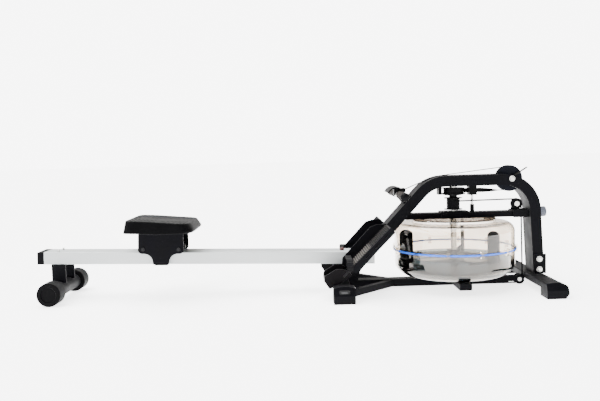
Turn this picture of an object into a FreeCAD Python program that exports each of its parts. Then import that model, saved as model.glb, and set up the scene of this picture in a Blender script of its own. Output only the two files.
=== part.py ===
import FreeCAD, Part
import math
import os

import Sketcher

# Water rowing machine.
# Frame: millimetres, +X from the seat end to the tank end, +Y to the rower's left, +Z up.
# The origin is on the floor, midway along and across the whole machine.

DIMENSIONS = {
    # Rail: an aluminium extrusion that falls gently towards the footplates.
    "rail_front_x": 326.484, "rail_front_top": 155.106, "rail_slope": 1.594,
    "rail_total_length": 1333.5, "rail_width": 100, "rail_height": 48, "rail_wall": 3,
    "rail_groove_offset": 18, "rail_groove_width": 5, "rail_groove_depth": 2.5,
    "end_cap_length": 26.5, "rail_edge_radius": 3,
    "bumper_station": 1206, "bumper_radius": 9, "bumper_height": 9,
    "stop_station": 78, "stop_offset": 30, "stop_screw_radius": 4, "stop_screw_height": 7,
    # Rear foot: a round tube with two fat rubber ends, and the folded bracket on it.
    "rear_foot_inset": 82.8, "rear_foot_half": 182, "rear_tube_radius": 29,
    "rear_cap_radius": 45.5, "rear_cap_length": 65, "rear_cap_rim": 4, "rear_cap_recess": 3,
    "rear_bracket_length": 55, "rear_bracket_wall": 5,
    # Middle foot under the footplates.
    "middle_foot_x": 189, "middle_foot_half": 287, "middle_cap_length": 65,
    "middle_cap_width": 80, "middle_cap_height": 65, "middle_cap_shoulder": 58,
    "middle_tube_width": 60, "middle_tube_low": 10, "middle_tube_high": 50,
    "cap_crease_height": 30, "cap_lean": 12, "cap_corner": 6,
    "window_width": 40, "window_low": 35, "window_high": 51, "window_depth": 7,
    # Front foot under the post.
    "front_foot_x": 959, "front_foot_half": 301, "front_cap_length": 72,
    "front_cap_width": 81, "front_cap_height": 59, "front_cap_chamfer": 34,
    "front_cap_chamfer_drop": 12, "front_tube_width": 62, "front_tube_low": 24,
    "front_tube_high": 50, "tube_wall": 3,
    # Base beam, its braces, the tank arms and the plates that hold the rail's front end.
    "base_low": 10, "base_high": 38, "base_width": 50, "base_front_x": 862,
    "brace_width": 25, "brace_low": 9, "brace_high": 35, "brace_inset": 42,
    "brace_reach": 180, "tank_arm_width": 46, "tank_arm_low": 20, "tank_arm_reach": 200,
    "plate_wall": 5, "plate_foot_rear_x": 223, "plate_foot_front_x": 258,
    "plate_foot_low": 14, "plate_top": 230, "plate_knee": 98, "spacer_low": 42,
    "spacer_high": 84, "pedestal_length": 54, "pedestal_width": 80,
    # Arch: one wide rectangular tube from the rail's front end over the tank to the front foot.
    "arch_foot_x": 338, "arch_foot_z": 190, "arch_left_x": 555, "arch_top_z": 424.5,
    "arch_right_x": 956.5, "arch_end_x": 975, "arch_end_z": 52.5, "arch_depth": 100,
    "arch_thickness": 42, "arch_wall": 3, "arch_left_bend": 136, "arch_right_bend": 123,
    # Plates, bolts and rubber pads on the post.
    "post_plate_low": 50, "post_plate_high": 127, "post_plate_width": 45,
    "post_plate_x": 978.5, "post_bolt_x": 975, "post_bolt_low": 66, "post_bolt_high": 107,
    "dome_radius": 11, "dome_height": 7, "standing_pad_z": 293,
    "standing_pad_offset": 30, "standing_pad_radius": 20, "standing_pad_thickness": 22.8,
    # Drive deck below the arch, with its pulley, links and clip.
    "deck_low": 275, "deck_high": 298, "deck_width": 56, "deck_front_x": 911,
    "link_wall": 7, "link_rear_x": 880, "clip_x": 608, "clip_width": 24,
    # Tank.
    "tank_x": 649.5, "tank_flange_radius": 240, "tank_flange_reach": 4, "tank_wall": 4,
    "tank_bottom": 44, "tank_floor_inset": 108, "tank_haunch_z": 84, "tank_haunch_inset": 38,
    "tank_haunch_rise": 8, "tank_lower_bend": 46, "tank_seam": 156.8, "gasket_thickness": 3.6,
    "flange_thickness": 5, "gasket_bead": 1.5, "tank_shoulder_z": 234,
    "tank_shoulder_bend": 26, "tank_crown_inset": 33, "tank_crown_z": 258,
    "tank_mouth_inset": 83, "lid_overlap": 45, "lid_low": 263, "lid_high": 274.7,
    "clip_count": 12, "clip_phase": 12.7, "tank_clip_width": 11, "tank_clip_height": 27,
    "tank_clip_wall": 3.5,
    "water_level": 118, "water_gap": 0.4,
    # Impeller.
    "shaft_radius": 12, "spindle_radius": 8, "shaft_low": 62, "shaft_shoulder": 304,
    "blade_depth": 53, "blade_gap": 15, "blade_low": 64, "blade_high": 236,
    "blade_thickness": 5, "blade_corner": 22, "blade_count": 3, "blade_phase": 66.5,
    "hub_radius": 26,
    "hub_low": 126, "hub_height": 22, "arm_height": 12, "arm_thickness": 10,
    "sweep_clearance": 6,
    # Belt reel and bungee spool on the spindle.
    "reel_radius": 48, "reel_low": 366, "reel_high": 396, "reel_flange": 5,
    "belt_coil_radius": 38, "spool_radius": 26, "spool_flange_radius": 36,
    "spool_low": 309, "spool_high": 357, "spool_flange": 3, "bearing_radius": 15,
    "running_clearance": 0.05, "free_clearance": 0.4,
    "drive_plate_length": 110, "drive_plate_thickness": 5,
    "guard_width": 44, "guard_thickness": 12,
    "guide_x": 725, "guide_rod_radius": 5, "guide_sleeve_radius": 8.5,
    "guide_sleeve_high": 328, "guide_block_low": 366, "guide_block_length": 30,
    "guide_block_width": 40, "guide_slot": 7,
    # Belt pulley in the arch.
    "pulley_x": 871, "pulley_z": 428, "pulley_radius": 52, "pulley_floor_radius": 45.5,
    "pulley_width": 26, "pulley_wall": 3, "pulley_slot_gap": 6, "axle_radius": 6,
    "belt_width": 18, "belt_thickness": 2,
    # Bungee pulleys and cord.
    "upper_pulley_x": 902, "upper_pulley_z": 325, "upper_pulley_radius": 22,
    "upper_cord_radius": 19, "lower_pulley_x": 909, "lower_pulley_z": 21,
    "lower_pulley_radius": 18.5, "lower_cord_radius": 15, "bungee_pulley_width": 18,
    "bungee_axle_radius": 4, "cord_radius": 3, "anchor_x": 245, "anchor_length": 16,
    "fork_wall": 4, "fork_radius": 20,
    # Handle.
    "handle_x": 428, "handle_z": 377, "handle_half": 200, "handle_bar_radius": 12,
    "grip_radius": 16, "grip_inner": 62, "grip_outer": 192, "plug_radius": 17,
    "cover_x": 416, "cover_z": 370, "cover_radius": 38, "cover_wall": 5, "cover_half": 58,
    "yoke_half": 16, "yoke_x": 458, "yoke_z": 396, "rest_offset": 38,
    "rest_wall": 5,
    # Footplates, in their own slanted frame: along the foot, and square to it.
    "footrest_x": 236, "footrest_z": 101, "footrest_angle": 45, "footplate_inner": 95,
    "footplate_outer": 230, "footplate_wall": 4, "footplate_length": 212,
    "footplate_floor": 20, "flange_height": 26, "guard_height": 58, "guard_drop": 18,
    "tread_height": 4, "tread_margin": 5, "slot_length": 18, "slot_height": 7,
    "slot_low": 11, "slot_pitch": 50, "slot_first": 76, "heel_wall": 6,
    "heel_length": 96, "heel_inner_gap": 4, "heel_outer_gap": 7, "heel_tongue": 62,
    "heel_travel": 40, "crossbar_radius": 9,
    "crossbar_half": 112, "upper_crossbar_x": 341, "upper_crossbar_z": 208,
    "lower_crossbar_x": 240, "lower_crossbar_z": 92, "strap_x": 215, "strap_width": 24,
    "strap_thickness": 3, "strap_low": 112, "strap_high": 177, "strap_bend": 30, "strap_land": 142,
    # Seat and carriage, in the rail's own frame: along the rail, and up from its top face.
    "carriage_station": 491, "carriage_half": 88, "carriage_wall": 4, "carriage_inner": 60,
    "carriage_deck_low": 77, "carriage_deck_high": 85.7, "wheel_station": 70,
    "wheel_radius": 12, "wheel_width": 18, "wheel_offset": 31, "wheel_gap": 0.3,
    "seat_axle_radius": 4, "neck_half": 31, "neck_drop": 47, "neck_bend": 34,
    "lobe_radius": 17, "glide_half": 26, "glide_gap": 0.4, "glide_lip": 2.5,
    "seat_rear": 350, "seat_front": 641, "seat_width": 300, "seat_low": 86,
    "seat_rear_top": 132, "seat_front_top": 123, "seat_corner": 45,
    # Wire hoop beside the belt pulley.
    "hoop_angle": 70.8, "hoop_length": 50, "hoop_rise": 31, "hoop_width": 12,
    "hoop_wire": 1.8, "hoop_y": -24,
}

DOC = FreeCAD.newDocument("rowing_machine")
NODES = []


class Size:
    """A length or angle that carries both its number and the sheet expression behind it."""

    def __init__(self, number, text):
        self.number = number
        self.text = text

    def joined(self, other, sign, number):
        return Size(number, "(%s %s %s)" % (self.text, sign, other.text))

    def __add__(self, other):
        other = as_size(other)
        return self.joined(other, "+", self.number + other.number)

    def __sub__(self, other):
        other = as_size(other)
        return self.joined(other, "-", self.number - other.number)

    def __mul__(self, other):
        other = as_size(other)
        return self.joined(other, "*", self.number * other.number)

    def __truediv__(self, other):
        other = as_size(other)
        return self.joined(other, "/", self.number / other.number)

    def __radd__(self, other):
        return as_size(other) + self

    def __rsub__(self, other):
        return as_size(other) - self

    def __rmul__(self, other):
        return as_size(other) * self

    def __neg__(self):
        return as_size(0) - self

    def __float__(self):
        return float(self.number)


def as_size(value):
    if isinstance(value, Size):
        return value
    return Size(float(value), repr(float(value)))


def sine(angle):
    angle = as_size(angle)
    return Size(math.sin(math.radians(angle.number)), "sin(%s)" % angle.text)


def cosine(angle):
    angle = as_size(angle)
    return Size(math.cos(math.radians(angle.number)), "cos(%s)" % angle.text)


def tangent(angle):
    return sine(angle) / cosine(angle)


class Sheet:
    """The driving dimensions: writes them to the document's sheet and hands them out by name."""

    def __init__(self):
        self.cells = DOC.addObject("Spreadsheet::Sheet", "dims")
        for row, (alias, value) in enumerate(DIMENSIONS.items(), start=1):
            self.cells.set("A%d" % row, alias)
            self.cells.set("B%d" % row, str(value))
            self.cells.setAlias("B%d" % row, alias)
        DOC.recompute()

    def __getattr__(self, alias):
        return Size(float(self.cells.get(alias)), "dims." + alias)


D = Sheet()

# Measures that several sub-parts share, worked out from the driving dimensions.
RAIL_REAR_X = D.rail_front_x - D.rail_total_length * cosine(D.rail_slope)
RAIL_REAR_TOP = D.rail_front_top + D.rail_total_length * sine(D.rail_slope)
REAR_FOOT_X = RAIL_REAR_X + D.rear_foot_inset
TANK_WALL_RADIUS = D.tank_flange_radius - D.tank_flange_reach
TANK_HAUNCH_RADIUS = TANK_WALL_RADIUS - D.tank_haunch_inset
TANK_FLOOR_RADIUS = TANK_WALL_RADIUS - D.tank_floor_inset
TANK_CROWN_RADIUS = TANK_WALL_RADIUS - D.tank_crown_inset
TANK_MOUTH_RADIUS = TANK_CROWN_RADIUS - D.tank_mouth_inset
LID_RADIUS = TANK_MOUTH_RADIUS + D.lid_overlap
GASKET_RADIUS = D.tank_flange_radius + D.gasket_bead
BLADE_OUTER = TANK_WALL_RADIUS - D.blade_gap
BLADE_INNER = BLADE_OUTER - D.blade_depth
RAIL_FRAME = ((RAIL_REAR_X, 0, RAIL_REAR_TOP), (0, 1, 0), D.rail_slope)
FOOT_FRAME = ((D.footrest_x, 0, D.footrest_z), (0, 1, 0), -D.footrest_angle)
ARCH_UNDERSIDE = D.arch_top_z - D.arch_thickness / 2
LEG_RUN = D.arch_left_x - D.arch_foot_x
LEG_RISE = D.arch_top_z - D.arch_foot_z
POST_LEAN = (D.arch_end_x - D.arch_right_x) / (D.arch_top_z - D.arch_end_z)
REEL_FLOOR = D.reel_low + 1.7 * D.reel_flange
REEL_ROOF = D.reel_high - D.reel_flange / 2
BELT_LEVEL = (REEL_FLOOR + REEL_ROOF) / 2
SIDES = (("left", 1), ("right", -1))


def rail_underside(x):
    """Height of the rail's lower face at a place along the machine."""
    fall = (x - RAIL_REAR_X) * tangent(D.rail_slope)
    return RAIL_REAR_TOP - fall - D.rail_height / cosine(D.rail_slope)


def leg_length():
    run = LEG_RUN.number
    rise = LEG_RISE.number
    return Size(math.hypot(run, rise), "sqrt(%s ^ 2 + %s ^ 2)" % (LEG_RUN.text, LEG_RISE.text))


def leg_side(height, side):
    """X of the arch's slanted leg at a height: side 1 is its tank face, -1 its rower face."""
    centre = D.arch_foot_x + (height - D.arch_foot_z) * LEG_RUN / LEG_RISE
    return centre + side * D.arch_thickness / 2 * leg_length() / LEG_RISE


def post_side(height, side):
    """X of the arch's post at a height: side 1 is its outer face, -1 its tank face."""
    centre = D.arch_right_x + (D.arch_top_z - height) * POST_LEAN
    return centre + side * D.arch_thickness / 2


# ---------------------------------------------------------------- building blocks

def bind(item, prop, value):
    item.setExpression(prop, as_size(value).text)


def place(item, corner=(0, 0, 0), axis=(0, 0, 1), turn=0):
    turn = as_size(turn)
    item.Placement = FreeCAD.Placement(FreeCAD.Vector(), FreeCAD.Rotation(FreeCAD.Vector(*axis), 1.0))
    for letter, value in zip("xyz", corner):
        bind(item, "Placement.Base." + letter, value)
    bind(item, "Placement.Rotation.Angle", turn)
    return item


def box(name, size, corner, axis=(0, 0, 1), turn=0):
    item = DOC.addObject("Part::Box", name)
    for prop, value in zip(("Length", "Width", "Height"), size):
        bind(item, prop, value)
    return place(item, corner, axis, turn)


def rod(name, radius, length, base, along="Z"):
    """A cylinder from base, its axis pointing along +X, +Y or +Z."""
    item = DOC.addObject("Part::Cylinder", name)
    bind(item, "Radius", radius)
    bind(item, "Height", length)
    axis, turn = {"X": ((0, 1, 0), 90), "Y": ((1, 0, 0), -90), "Z": ((0, 0, 1), 0)}[along]
    return place(item, base, axis, turn)


def cross_rod(name, radius, half, x, z):
    """A cylinder across the machine, centred on its middle plane."""
    return rod(name, radius, 2 * half, (x, -half, z), "Y")


def fuse(name, *pieces):
    item = DOC.addObject("Part::MultiFuse", name)
    item.Shapes = list(pieces)
    return item


def common(name, *pieces):
    item = DOC.addObject("Part::MultiCommon", name)
    item.Shapes = list(pieces)
    return item


def cut(name, base, *tools):
    item = DOC.addObject("Part::Cut", name)
    item.Base = base
    item.Tool = tools[0] if len(tools) == 1 else fuse(name + "_tools", *tools)
    return item


def group(name, *pieces):
    item = DOC.addObject("Part::Compound", name)
    item.Links = list(pieces)
    return item


def framed(name, frame, *pieces):
    return place(group(name, *pieces), *frame)


def keep(item, node):
    """Marks a finished sub-part, whose label names its file."""
    item.Label = node
    NODES.append(item)
    return item


def corner_arc(before, corner, after, radius):
    """Tangent points and mid point of the arc that rounds a corner."""
    back = (before - corner).normalize()
    ahead = (after - corner).normalize()
    half = back.getAngle(ahead) / 2
    reach = radius / math.tan(half)
    middle = (back + ahead).normalize()
    centre = corner + middle * (radius / math.sin(half))
    return corner + back * reach, centre - middle * radius, corner + ahead * reach


def add_line(sketch, start, end, first, last):
    """A line whose ends sit on the corner points first and last, unless an arc takes over."""
    line = sketch.addGeometry(Part.LineSegment(start, end), False)
    for point, position, at_corner in ((first[0], 1, first[1]), (last[0], 2, last[1])):
        if at_corner:
            sketch.addConstraint(Sketcher.Constraint("Coincident", line, position, point, 1))
        else:
            sketch.addConstraint(Sketcher.Constraint("PointOnObject", point, 1, line))
    return line


def outline(sketch, corners, closed=True):
    """Straight sides and tangent arcs through corners (x, y, radius), tied to the sheet."""
    corners = [tuple(as_size(value) for value in corner) for corner in corners]
    points = [FreeCAD.Vector(x.number, y.number, 0) for x, y, _ in corners]
    count = len(corners)
    marks = []
    for (x, y, _), point in zip(corners, points):
        mark = sketch.addGeometry(Part.Point(point), True)
        for kind, value in (("DistanceX", x), ("DistanceY", y)):
            index = sketch.addConstraint(Sketcher.Constraint(kind, -1, 1, mark, 1, value.number))
            sketch.setExpression("Constraints[%d]" % index, value.text)
        marks.append(mark)
    arcs = {}
    for index, (_, _, radius) in enumerate(corners):
        inner = closed or 0 < index < count - 1
        if inner and radius.number > 0:
            before = points[index - 1]
            after = points[(index + 1) % count]
            arcs[index] = corner_arc(before, points[index], after, radius.number)
    lines = []
    for index in range(count if closed else count - 1):
        following = (index + 1) % count
        start = arcs[index][2] if index in arcs else points[index]
        end = arcs[following][0] if following in arcs else points[following]
        first = (marks[index], index not in arcs)
        last = (marks[following], following not in arcs)
        lines.append(add_line(sketch, start, end, first, last))
    for index, (start, middle, end) in arcs.items():
        arc = sketch.addGeometry(Part.Arc(start, middle, end), False)
        forward = sketch.getPoint(arc, 1).distanceToPoint(start) < 1e-6
        into, out = (1, 2) if forward else (2, 1)
        sketch.addConstraint(Sketcher.Constraint("Tangent", lines[index - 1], 2, arc, into))
        sketch.addConstraint(Sketcher.Constraint("Tangent", arc, out, lines[index % len(lines)], 1))
        size = corners[index][2]
        mark = sketch.addConstraint(Sketcher.Constraint("Radius", arc, size.number))
        sketch.setExpression("Constraints[%d]" % mark, size.text)


def sketch_in(body, name, plane):
    sketch = body.newObject("Sketcher::SketchObject", name)
    support = [item for item in body.Origin.OriginFeatures if item.Role == plane][0]
    sketch.AttachmentSupport = [(support, "")]
    sketch.MapMode = "FlatFace"
    return sketch


def slab(name, plane, length, *outlines):
    """A pad, centred on its sketch plane; the first outline is its edge, the rest are holes."""
    body = DOC.addObject("PartDesign::Body", name)
    sketch = sketch_in(body, name + "_sketch", plane)
    for corners in outlines:
        outline(sketch, corners)
    pad = body.newObject("PartDesign::Pad", name + "_pad")
    pad.Profile = sketch
    pad.SideType = "Symmetric"
    bind(pad, "Length", length)
    return body


def slab_at(name, length, y, *outlines):
    """A slab in the XZ plane with its middle at y."""
    return place(slab(name, "XZ_Plane", length, *outlines), (0, y, 0))


def turned(name, corners, base=(0, 0, 0), along="Z"):
    """A solid of revolution from an outline of (radius, height, corner radius)."""
    body = DOC.addObject("PartDesign::Body", name)
    sketch = sketch_in(body, name + "_sketch", "XZ_Plane")
    outline(sketch, corners)
    turn = body.newObject("PartDesign::Revolution", name + "_turn")
    turn.Profile = sketch
    turn.ReferenceAxis = (sketch, ["V_Axis"])
    turn.Angle = 360
    axis, angle = {"X": ((0, 1, 0), 90), "Y": ((1, 0, 0), -90), "Z": ((0, 0, 1), 0)}[along]
    return place(body, base, axis, angle)


def shape_feature(name, shape):
    item = DOC.addObject("Part::Feature", name)
    item.Shape = shape
    return item


def rectangle(low_x, low_y, high_x, high_y, radius=0):
    return [(low_x, low_y, radius), (high_x, low_y, radius),
            (high_x, high_y, radius), (low_x, high_y, radius)]


def pipe(route, bends, radius):
    """A round bar along straight runs joined by tangent arcs; bends holds one radius per corner."""
    points = [FreeCAD.Vector(*(float(value) for value in point)) for point in route]
    edges = []
    start = points[0]
    for index in range(1, len(points) - 1):
        entry, middle, leave = corner_arc(points[index - 1], points[index], points[index + 1],
                                          float(bends[index - 1]))
        edges.append(Part.LineSegment(start, entry).toShape())
        edges.append(Part.Arc(entry, middle, leave).toShape())
        start = leave
    edges.append(Part.LineSegment(start, points[-1]).toShape())
    path = Part.Wire(edges)
    section = Part.Wire(Part.makeCircle(float(radius), points[0], points[1] - points[0]))
    return path.makePipeShell([section], True, True)


# ---------------------------------------------------------------- rail and rear foot

def make_rail():
    half = D.rail_width / 2
    groove = D.rail_groove_offset
    slot = D.rail_groove_width / 2
    edge = [(-half, -D.rail_height, D.rail_edge_radius), (half, -D.rail_height, D.rail_edge_radius),
            (half, 0, D.rail_edge_radius),
            (groove + slot, 0, 0), (groove + slot, -D.rail_groove_depth, 0),
            (groove - slot, -D.rail_groove_depth, 0), (groove - slot, 0, 0),
            (slot - groove, 0, 0), (slot - groove, -D.rail_groove_depth, 0),
            (-groove - slot, -D.rail_groove_depth, 0), (-groove - slot, 0, 0),
            (-half, 0, D.rail_edge_radius)]
    roof = -D.rail_groove_depth - D.rail_wall
    floor = D.rail_wall - D.rail_height
    inner = half - D.rail_wall
    web = D.rail_wall / 2
    length = D.rail_total_length - D.end_cap_length
    extrusion = slab("rail_extrusion", "YZ_Plane", length, edge,
                     rectangle(web, floor, inner, roof), rectangle(-inner, floor, -web, roof))
    place(extrusion, (D.end_cap_length + length / 2, 0, 0))
    keep(framed("rail", RAIL_FRAME, extrusion), "rail")
    cap = slab_at("rail_end_cap_blank", D.rail_width, 0,
                  [(0, -D.rail_height, D.rail_edge_radius), (D.end_cap_length, -D.rail_height, 0),
                   (D.end_cap_length, 0, 0), (0, 0, D.rail_edge_radius)])
    keep(framed("rail_end_cap", RAIL_FRAME, cap), "rail_end_cap")
    bumper = turned("bumper_blank", [(0, 0, 0), (D.bumper_radius, 0, 0),
                                     (D.bumper_radius, D.bumper_height, 3), (0, D.bumper_height, 0)],
                    (D.bumper_station, 0, 0))
    keep(framed("rail_bumper", RAIL_FRAME, bumper), "rail_bumper")


def make_rear_foot():
    height = D.rear_cap_radius
    tube_half = D.rear_foot_half - D.rear_cap_length / 2
    tube = cross_rod("rear_tube", D.rear_tube_radius, tube_half, REAR_FOOT_X, height)
    keep(tube, "rear_foot_tube")
    caps = []
    for name, side in SIDES:
        socket = D.rear_tube_radius + D.running_clearance
        depth = D.rear_cap_length / 2
        rim = D.rear_cap_rim
        profile = [(0, depth + D.running_clearance, 0), (socket, depth + D.running_clearance, 0),
                   (socket, 0, 0), (D.rear_cap_radius, 0, rim),
                   (D.rear_cap_radius, D.rear_cap_length, rim),
                   (D.rear_cap_radius * 0.66, D.rear_cap_length, 0),
                   (D.rear_cap_radius * 0.62, D.rear_cap_length - D.rear_cap_recess, 0),
                   (0, D.rear_cap_length - D.rear_cap_recess, 0)]
        cap = turned("rear_cap_" + name, profile)
        start = side * (D.rear_foot_half - D.rear_cap_length)
        place(cap, (REAR_FOOT_X, start, height), (1, 0, 0), -90 * side)
        caps.append(cap)
    keep(group("rear_foot_caps", *caps), "rear_foot_caps")
    make_rear_bracket()


def make_rear_bracket():
    station = (REAR_FOOT_X - RAIL_REAR_X) / cosine(D.rail_slope)
    inner = D.rail_width / 2 - 1
    outer = inner + D.rear_bracket_wall
    wall = D.rear_bracket_wall
    plate = box("rear_bracket_plate", (D.rear_bracket_length, 2 * inner, wall),
                (station - D.rear_bracket_length / 2, -inner, -D.rail_height - wall))
    top = framed("rear_bracket_top", RAIL_FRAME, plate)
    crest = rail_underside(REAR_FOOT_X + D.rear_bracket_length / 2) - 0.5
    low = D.rear_cap_radius + D.rear_tube_radius * 0.8
    walls = [box("rear_bracket_wall", (D.rear_bracket_length, wall, crest - low),
                 (REAR_FOOT_X - D.rear_bracket_length / 2,
                  side * (outer - wall / 2) - wall / 2, low))
             for _, side in SIDES]
    bracket = fuse("rear_bracket_blank", top, *walls)
    seat = cross_rod("rear_bracket_seat", D.rear_tube_radius, outer + 10,
                     REAR_FOOT_X, D.rear_cap_radius)
    keep(cut("rear_bracket", bracket, seat), "rear_bracket")


# ---------------------------------------------------------------- middle foot and base

def foot_cap(name, side, edge, half, length, height, socket):
    """A moulded foot end: its side outline, leaned back above the crease, less its tube socket."""
    blank = slab_at(name + "_side", length, side * (half - length / 2), edge)
    tip = side * half
    back = side * (half - length)
    lean = side * (half - D.cap_lean)
    profile = [(back, -1, 0), (tip, -1, 0), (tip, D.cap_crease_height, 0),
               (lean, height + 1, 0), (back, height + 1, 0)]
    wedge = slab(name + "_wedge", "YZ_Plane", 400, profile)
    x = D.middle_foot_x if name.startswith("middle") else D.front_foot_x
    place(wedge, (x, 0, 0))
    return cut(name, common(name + "_blank", blank, wedge), socket)


def foot_tube(node, x, width, low, high, half):
    outer = rectangle(x - width / 2, low, x + width / 2, high, 4)
    wall = D.tube_wall
    inner = rectangle(x - width / 2 + wall, low + wall, x + width / 2 - wall, high - wall, 1)
    return keep(slab_at(node, 2 * half, 0, outer, inner), node)


def make_middle_foot():
    x = D.middle_foot_x
    wide = D.middle_cap_width / 2
    half = D.middle_foot_half
    tube_half = half - D.middle_cap_length / 2
    foot_tube("middle_foot_tube", x, D.middle_tube_width, D.middle_tube_low,
              D.middle_tube_high, tube_half)
    edge = [(x - wide, 0, 2), (x + wide, 0, 2), (x + wide, D.middle_cap_shoulder, D.cap_corner),
            (x, D.middle_cap_height, 80), (x - wide, D.middle_cap_shoulder, D.cap_corner)]
    gap = D.running_clearance
    caps = []
    for name, side in SIDES:
        low_y = side * (half - D.middle_cap_length / 2)
        socket = box("middle_socket", (D.middle_tube_width + 2 * gap, 2 * D.middle_cap_length,
                                       D.middle_tube_high - D.middle_tube_low + 2 * gap),
                     (x - D.middle_tube_width / 2 - gap,
                      low_y - D.middle_cap_length - side * D.middle_cap_length + side * gap,
                      D.middle_tube_low - gap))
        window = box("middle_window", (D.window_width, D.window_depth + 20,
                                       D.window_high - D.window_low),
                     (x - D.window_width / 2,
                      side * (half - D.window_depth / 2 + 10) - D.window_depth / 2 - 10,
                      D.window_low))
        cap = foot_cap("middle_cap_" + name, side, edge, half, D.middle_cap_length,
                       D.middle_cap_height, fuse("middle_cap_holes_" + name, socket, window))
        caps.append(cap)
    keep(group("middle_foot_caps", *caps), "middle_foot_caps")


def make_front_foot():
    x = D.front_foot_x
    wide = D.front_cap_width / 2
    half = D.front_foot_half
    tube_half = half - D.front_cap_length / 2
    foot_tube("front_foot_tube", x, D.front_tube_width, D.front_tube_low,
              D.front_tube_high, tube_half)
    chamfer = D.front_cap_chamfer
    edge = [(x - wide, 0, 2), (x + wide - chamfer / 2.4, 0, 4),
            (x + wide, D.front_cap_height * 0.3, 10),
            (x + wide - 4, D.front_cap_height - D.front_cap_chamfer_drop, 6),
            (x + wide - chamfer, D.front_cap_height, 8), (x - wide, D.front_cap_height - 4, 5)]
    gap = D.running_clearance
    caps = []
    for name, side in SIDES:
        low_y = side * (half - D.front_cap_length / 2)
        socket = box("front_socket", (D.front_tube_width + 2 * gap, 2 * D.front_cap_length,
                                      D.front_tube_high - D.front_tube_low + 2 * gap),
                     (x - D.front_tube_width / 2 - gap,
                      low_y - D.front_cap_length - side * D.front_cap_length + side * gap,
                      D.front_tube_low - gap))
        caps.append(foot_cap("front_cap_" + name, side, edge, half, D.front_cap_length,
                             D.front_cap_height, socket))
    keep(group("front_foot_caps", *caps), "front_foot_caps")


def make_base():
    start = D.middle_foot_x + D.middle_tube_width / 2
    half = D.base_width / 2
    height = D.base_high - D.base_low
    beam = box("base_outer", (D.base_front_x - start, D.base_width, height),
               (start, -half, D.base_low))
    wall = D.tube_wall
    bore = box("base_bore", (D.base_front_x - start, D.base_width - 2 * wall, height - 2 * wall),
               (start, wall - half, D.base_low + wall))
    keep(cut("base_beam", beam, bore), "base_beam")
    foot_end = D.middle_foot_half - D.middle_cap_length - D.brace_inset
    braces = []
    for name, side in SIDES:
        corners = [(start, side * foot_end, 0), (start, side * (foot_end + D.brace_width * 1.3), 0),
                   (start + D.brace_reach, side * half, 0),
                   (start + D.brace_reach - D.brace_width * 1.2, side * half, 0)]
        brace = slab("brace_" + name, "XY_Plane", D.brace_high - D.brace_low, corners)
        braces.append(place(brace, (0, 0, (D.brace_high + D.brace_low) / 2)))
    keep(group("base_braces", *braces), "base_braces")
    arms = []
    for name, side in SIDES:
        reach = D.tank_arm_reach - half
        low = half + reach / 2
        tall = D.tank_bottom - D.tank_arm_low
        arm = box("tank_arm_" + name, (D.tank_arm_width, reach, tall),
                  (D.tank_x - D.tank_arm_width / 2, side * low - reach / 2, D.tank_arm_low))
        arms.append(arm)
    keep(group("tank_arms", *arms), "tank_arms")


def make_rail_joint():
    """Side plates and blocks that tie the rail's front end, the arch leg and the base together."""
    plates = []
    centre = D.rail_width / 2 + D.plate_wall / 2
    corners = [(leg_side(D.plate_top, -1), D.plate_top, 0), (leg_side(D.plate_top, 1), D.plate_top, 0),
               (leg_side(D.spacer_high, 1), D.spacer_high, 12),
               (D.plate_foot_front_x, D.plate_foot_low + 40, 0),
               (D.plate_foot_front_x, D.plate_foot_low, 2), (D.plate_foot_rear_x, D.plate_foot_low, 2),
               (D.plate_foot_rear_x, D.plate_knee, 12)]
    for name, side in SIDES:
        plate = slab_at("joint_plate_" + name, D.plate_wall, side * centre, corners)
        holes = crossbar_holes("joint_plate_" + name, D.crossbar_radius + D.running_clearance)
        plates.append(cut("joint_plate_cut_" + name, plate, *holes))
    keep(group("joint_plates", *plates), "joint_plates")
    start = D.middle_foot_x + D.middle_tube_width / 2
    half = D.rail_width / 2
    spacer_rod = D.crossbar_radius + D.running_clearance
    spacer = box("leg_spacer", (D.plate_foot_front_x - start, 2 * half,
                                D.lower_crossbar_z - spacer_rod - 0.5 - D.spacer_low),
                 (start, -half, D.spacer_low))
    low_x = D.middle_foot_x - D.pedestal_length / 2
    high_x = D.middle_foot_x + D.pedestal_length / 2
    pedestal = slab_at("pedestal", D.pedestal_width, 0,
                       [(low_x, D.middle_tube_high, 0), (high_x, D.middle_tube_high, 0),
                        (high_x, rail_underside(high_x), 0), (low_x, rail_underside(low_x), 0)])
    bars = [cross_rod("upper_crossbar", D.crossbar_radius, D.crossbar_half, D.upper_crossbar_x,
                      D.upper_crossbar_z),
            cross_rod("lower_crossbar", D.crossbar_radius, D.crossbar_half, D.lower_crossbar_x,
                      D.lower_crossbar_z)]
    keep(group("rail_supports", spacer, pedestal, *bars), "rail_supports")


def crossbar_holes(name, radius):
    half = D.arch_depth
    return [cross_rod(name + "_upper_hole", radius, half, D.upper_crossbar_x, D.upper_crossbar_z),
            cross_rod(name + "_lower_hole", radius, half, D.lower_crossbar_x, D.lower_crossbar_z)]


# ---------------------------------------------------------------- arch, post and deck

def arch_edge(offset):
    """The arch's centre line as corners, moved sideways by offset towards its outside."""
    length = leg_length()
    shift_x = -LEG_RISE / length * offset
    shift_z = LEG_RUN / length * offset
    half_tan = LEG_RISE / (length + LEG_RUN)
    post_tan = 1 - POST_LEAN
    left_x = D.arch_left_x - half_tan * offset
    right_x = D.arch_right_x + post_tan * offset
    left = (left_x, D.arch_top_z + offset, D.arch_left_bend + offset)
    right = (right_x, D.arch_top_z + offset, D.arch_right_bend + offset)
    foot = (D.arch_foot_x + shift_x, D.arch_foot_z + shift_z, 0)
    end = (D.arch_end_x + offset, D.arch_end_z, 0)
    return foot, left, right, end


def arch_ring(name, half_thickness, depth):
    outer = arch_edge(half_thickness)
    inner = arch_edge(-half_thickness)
    return slab_at(name, depth, 0, list(outer) + list(reversed(inner)))


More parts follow.
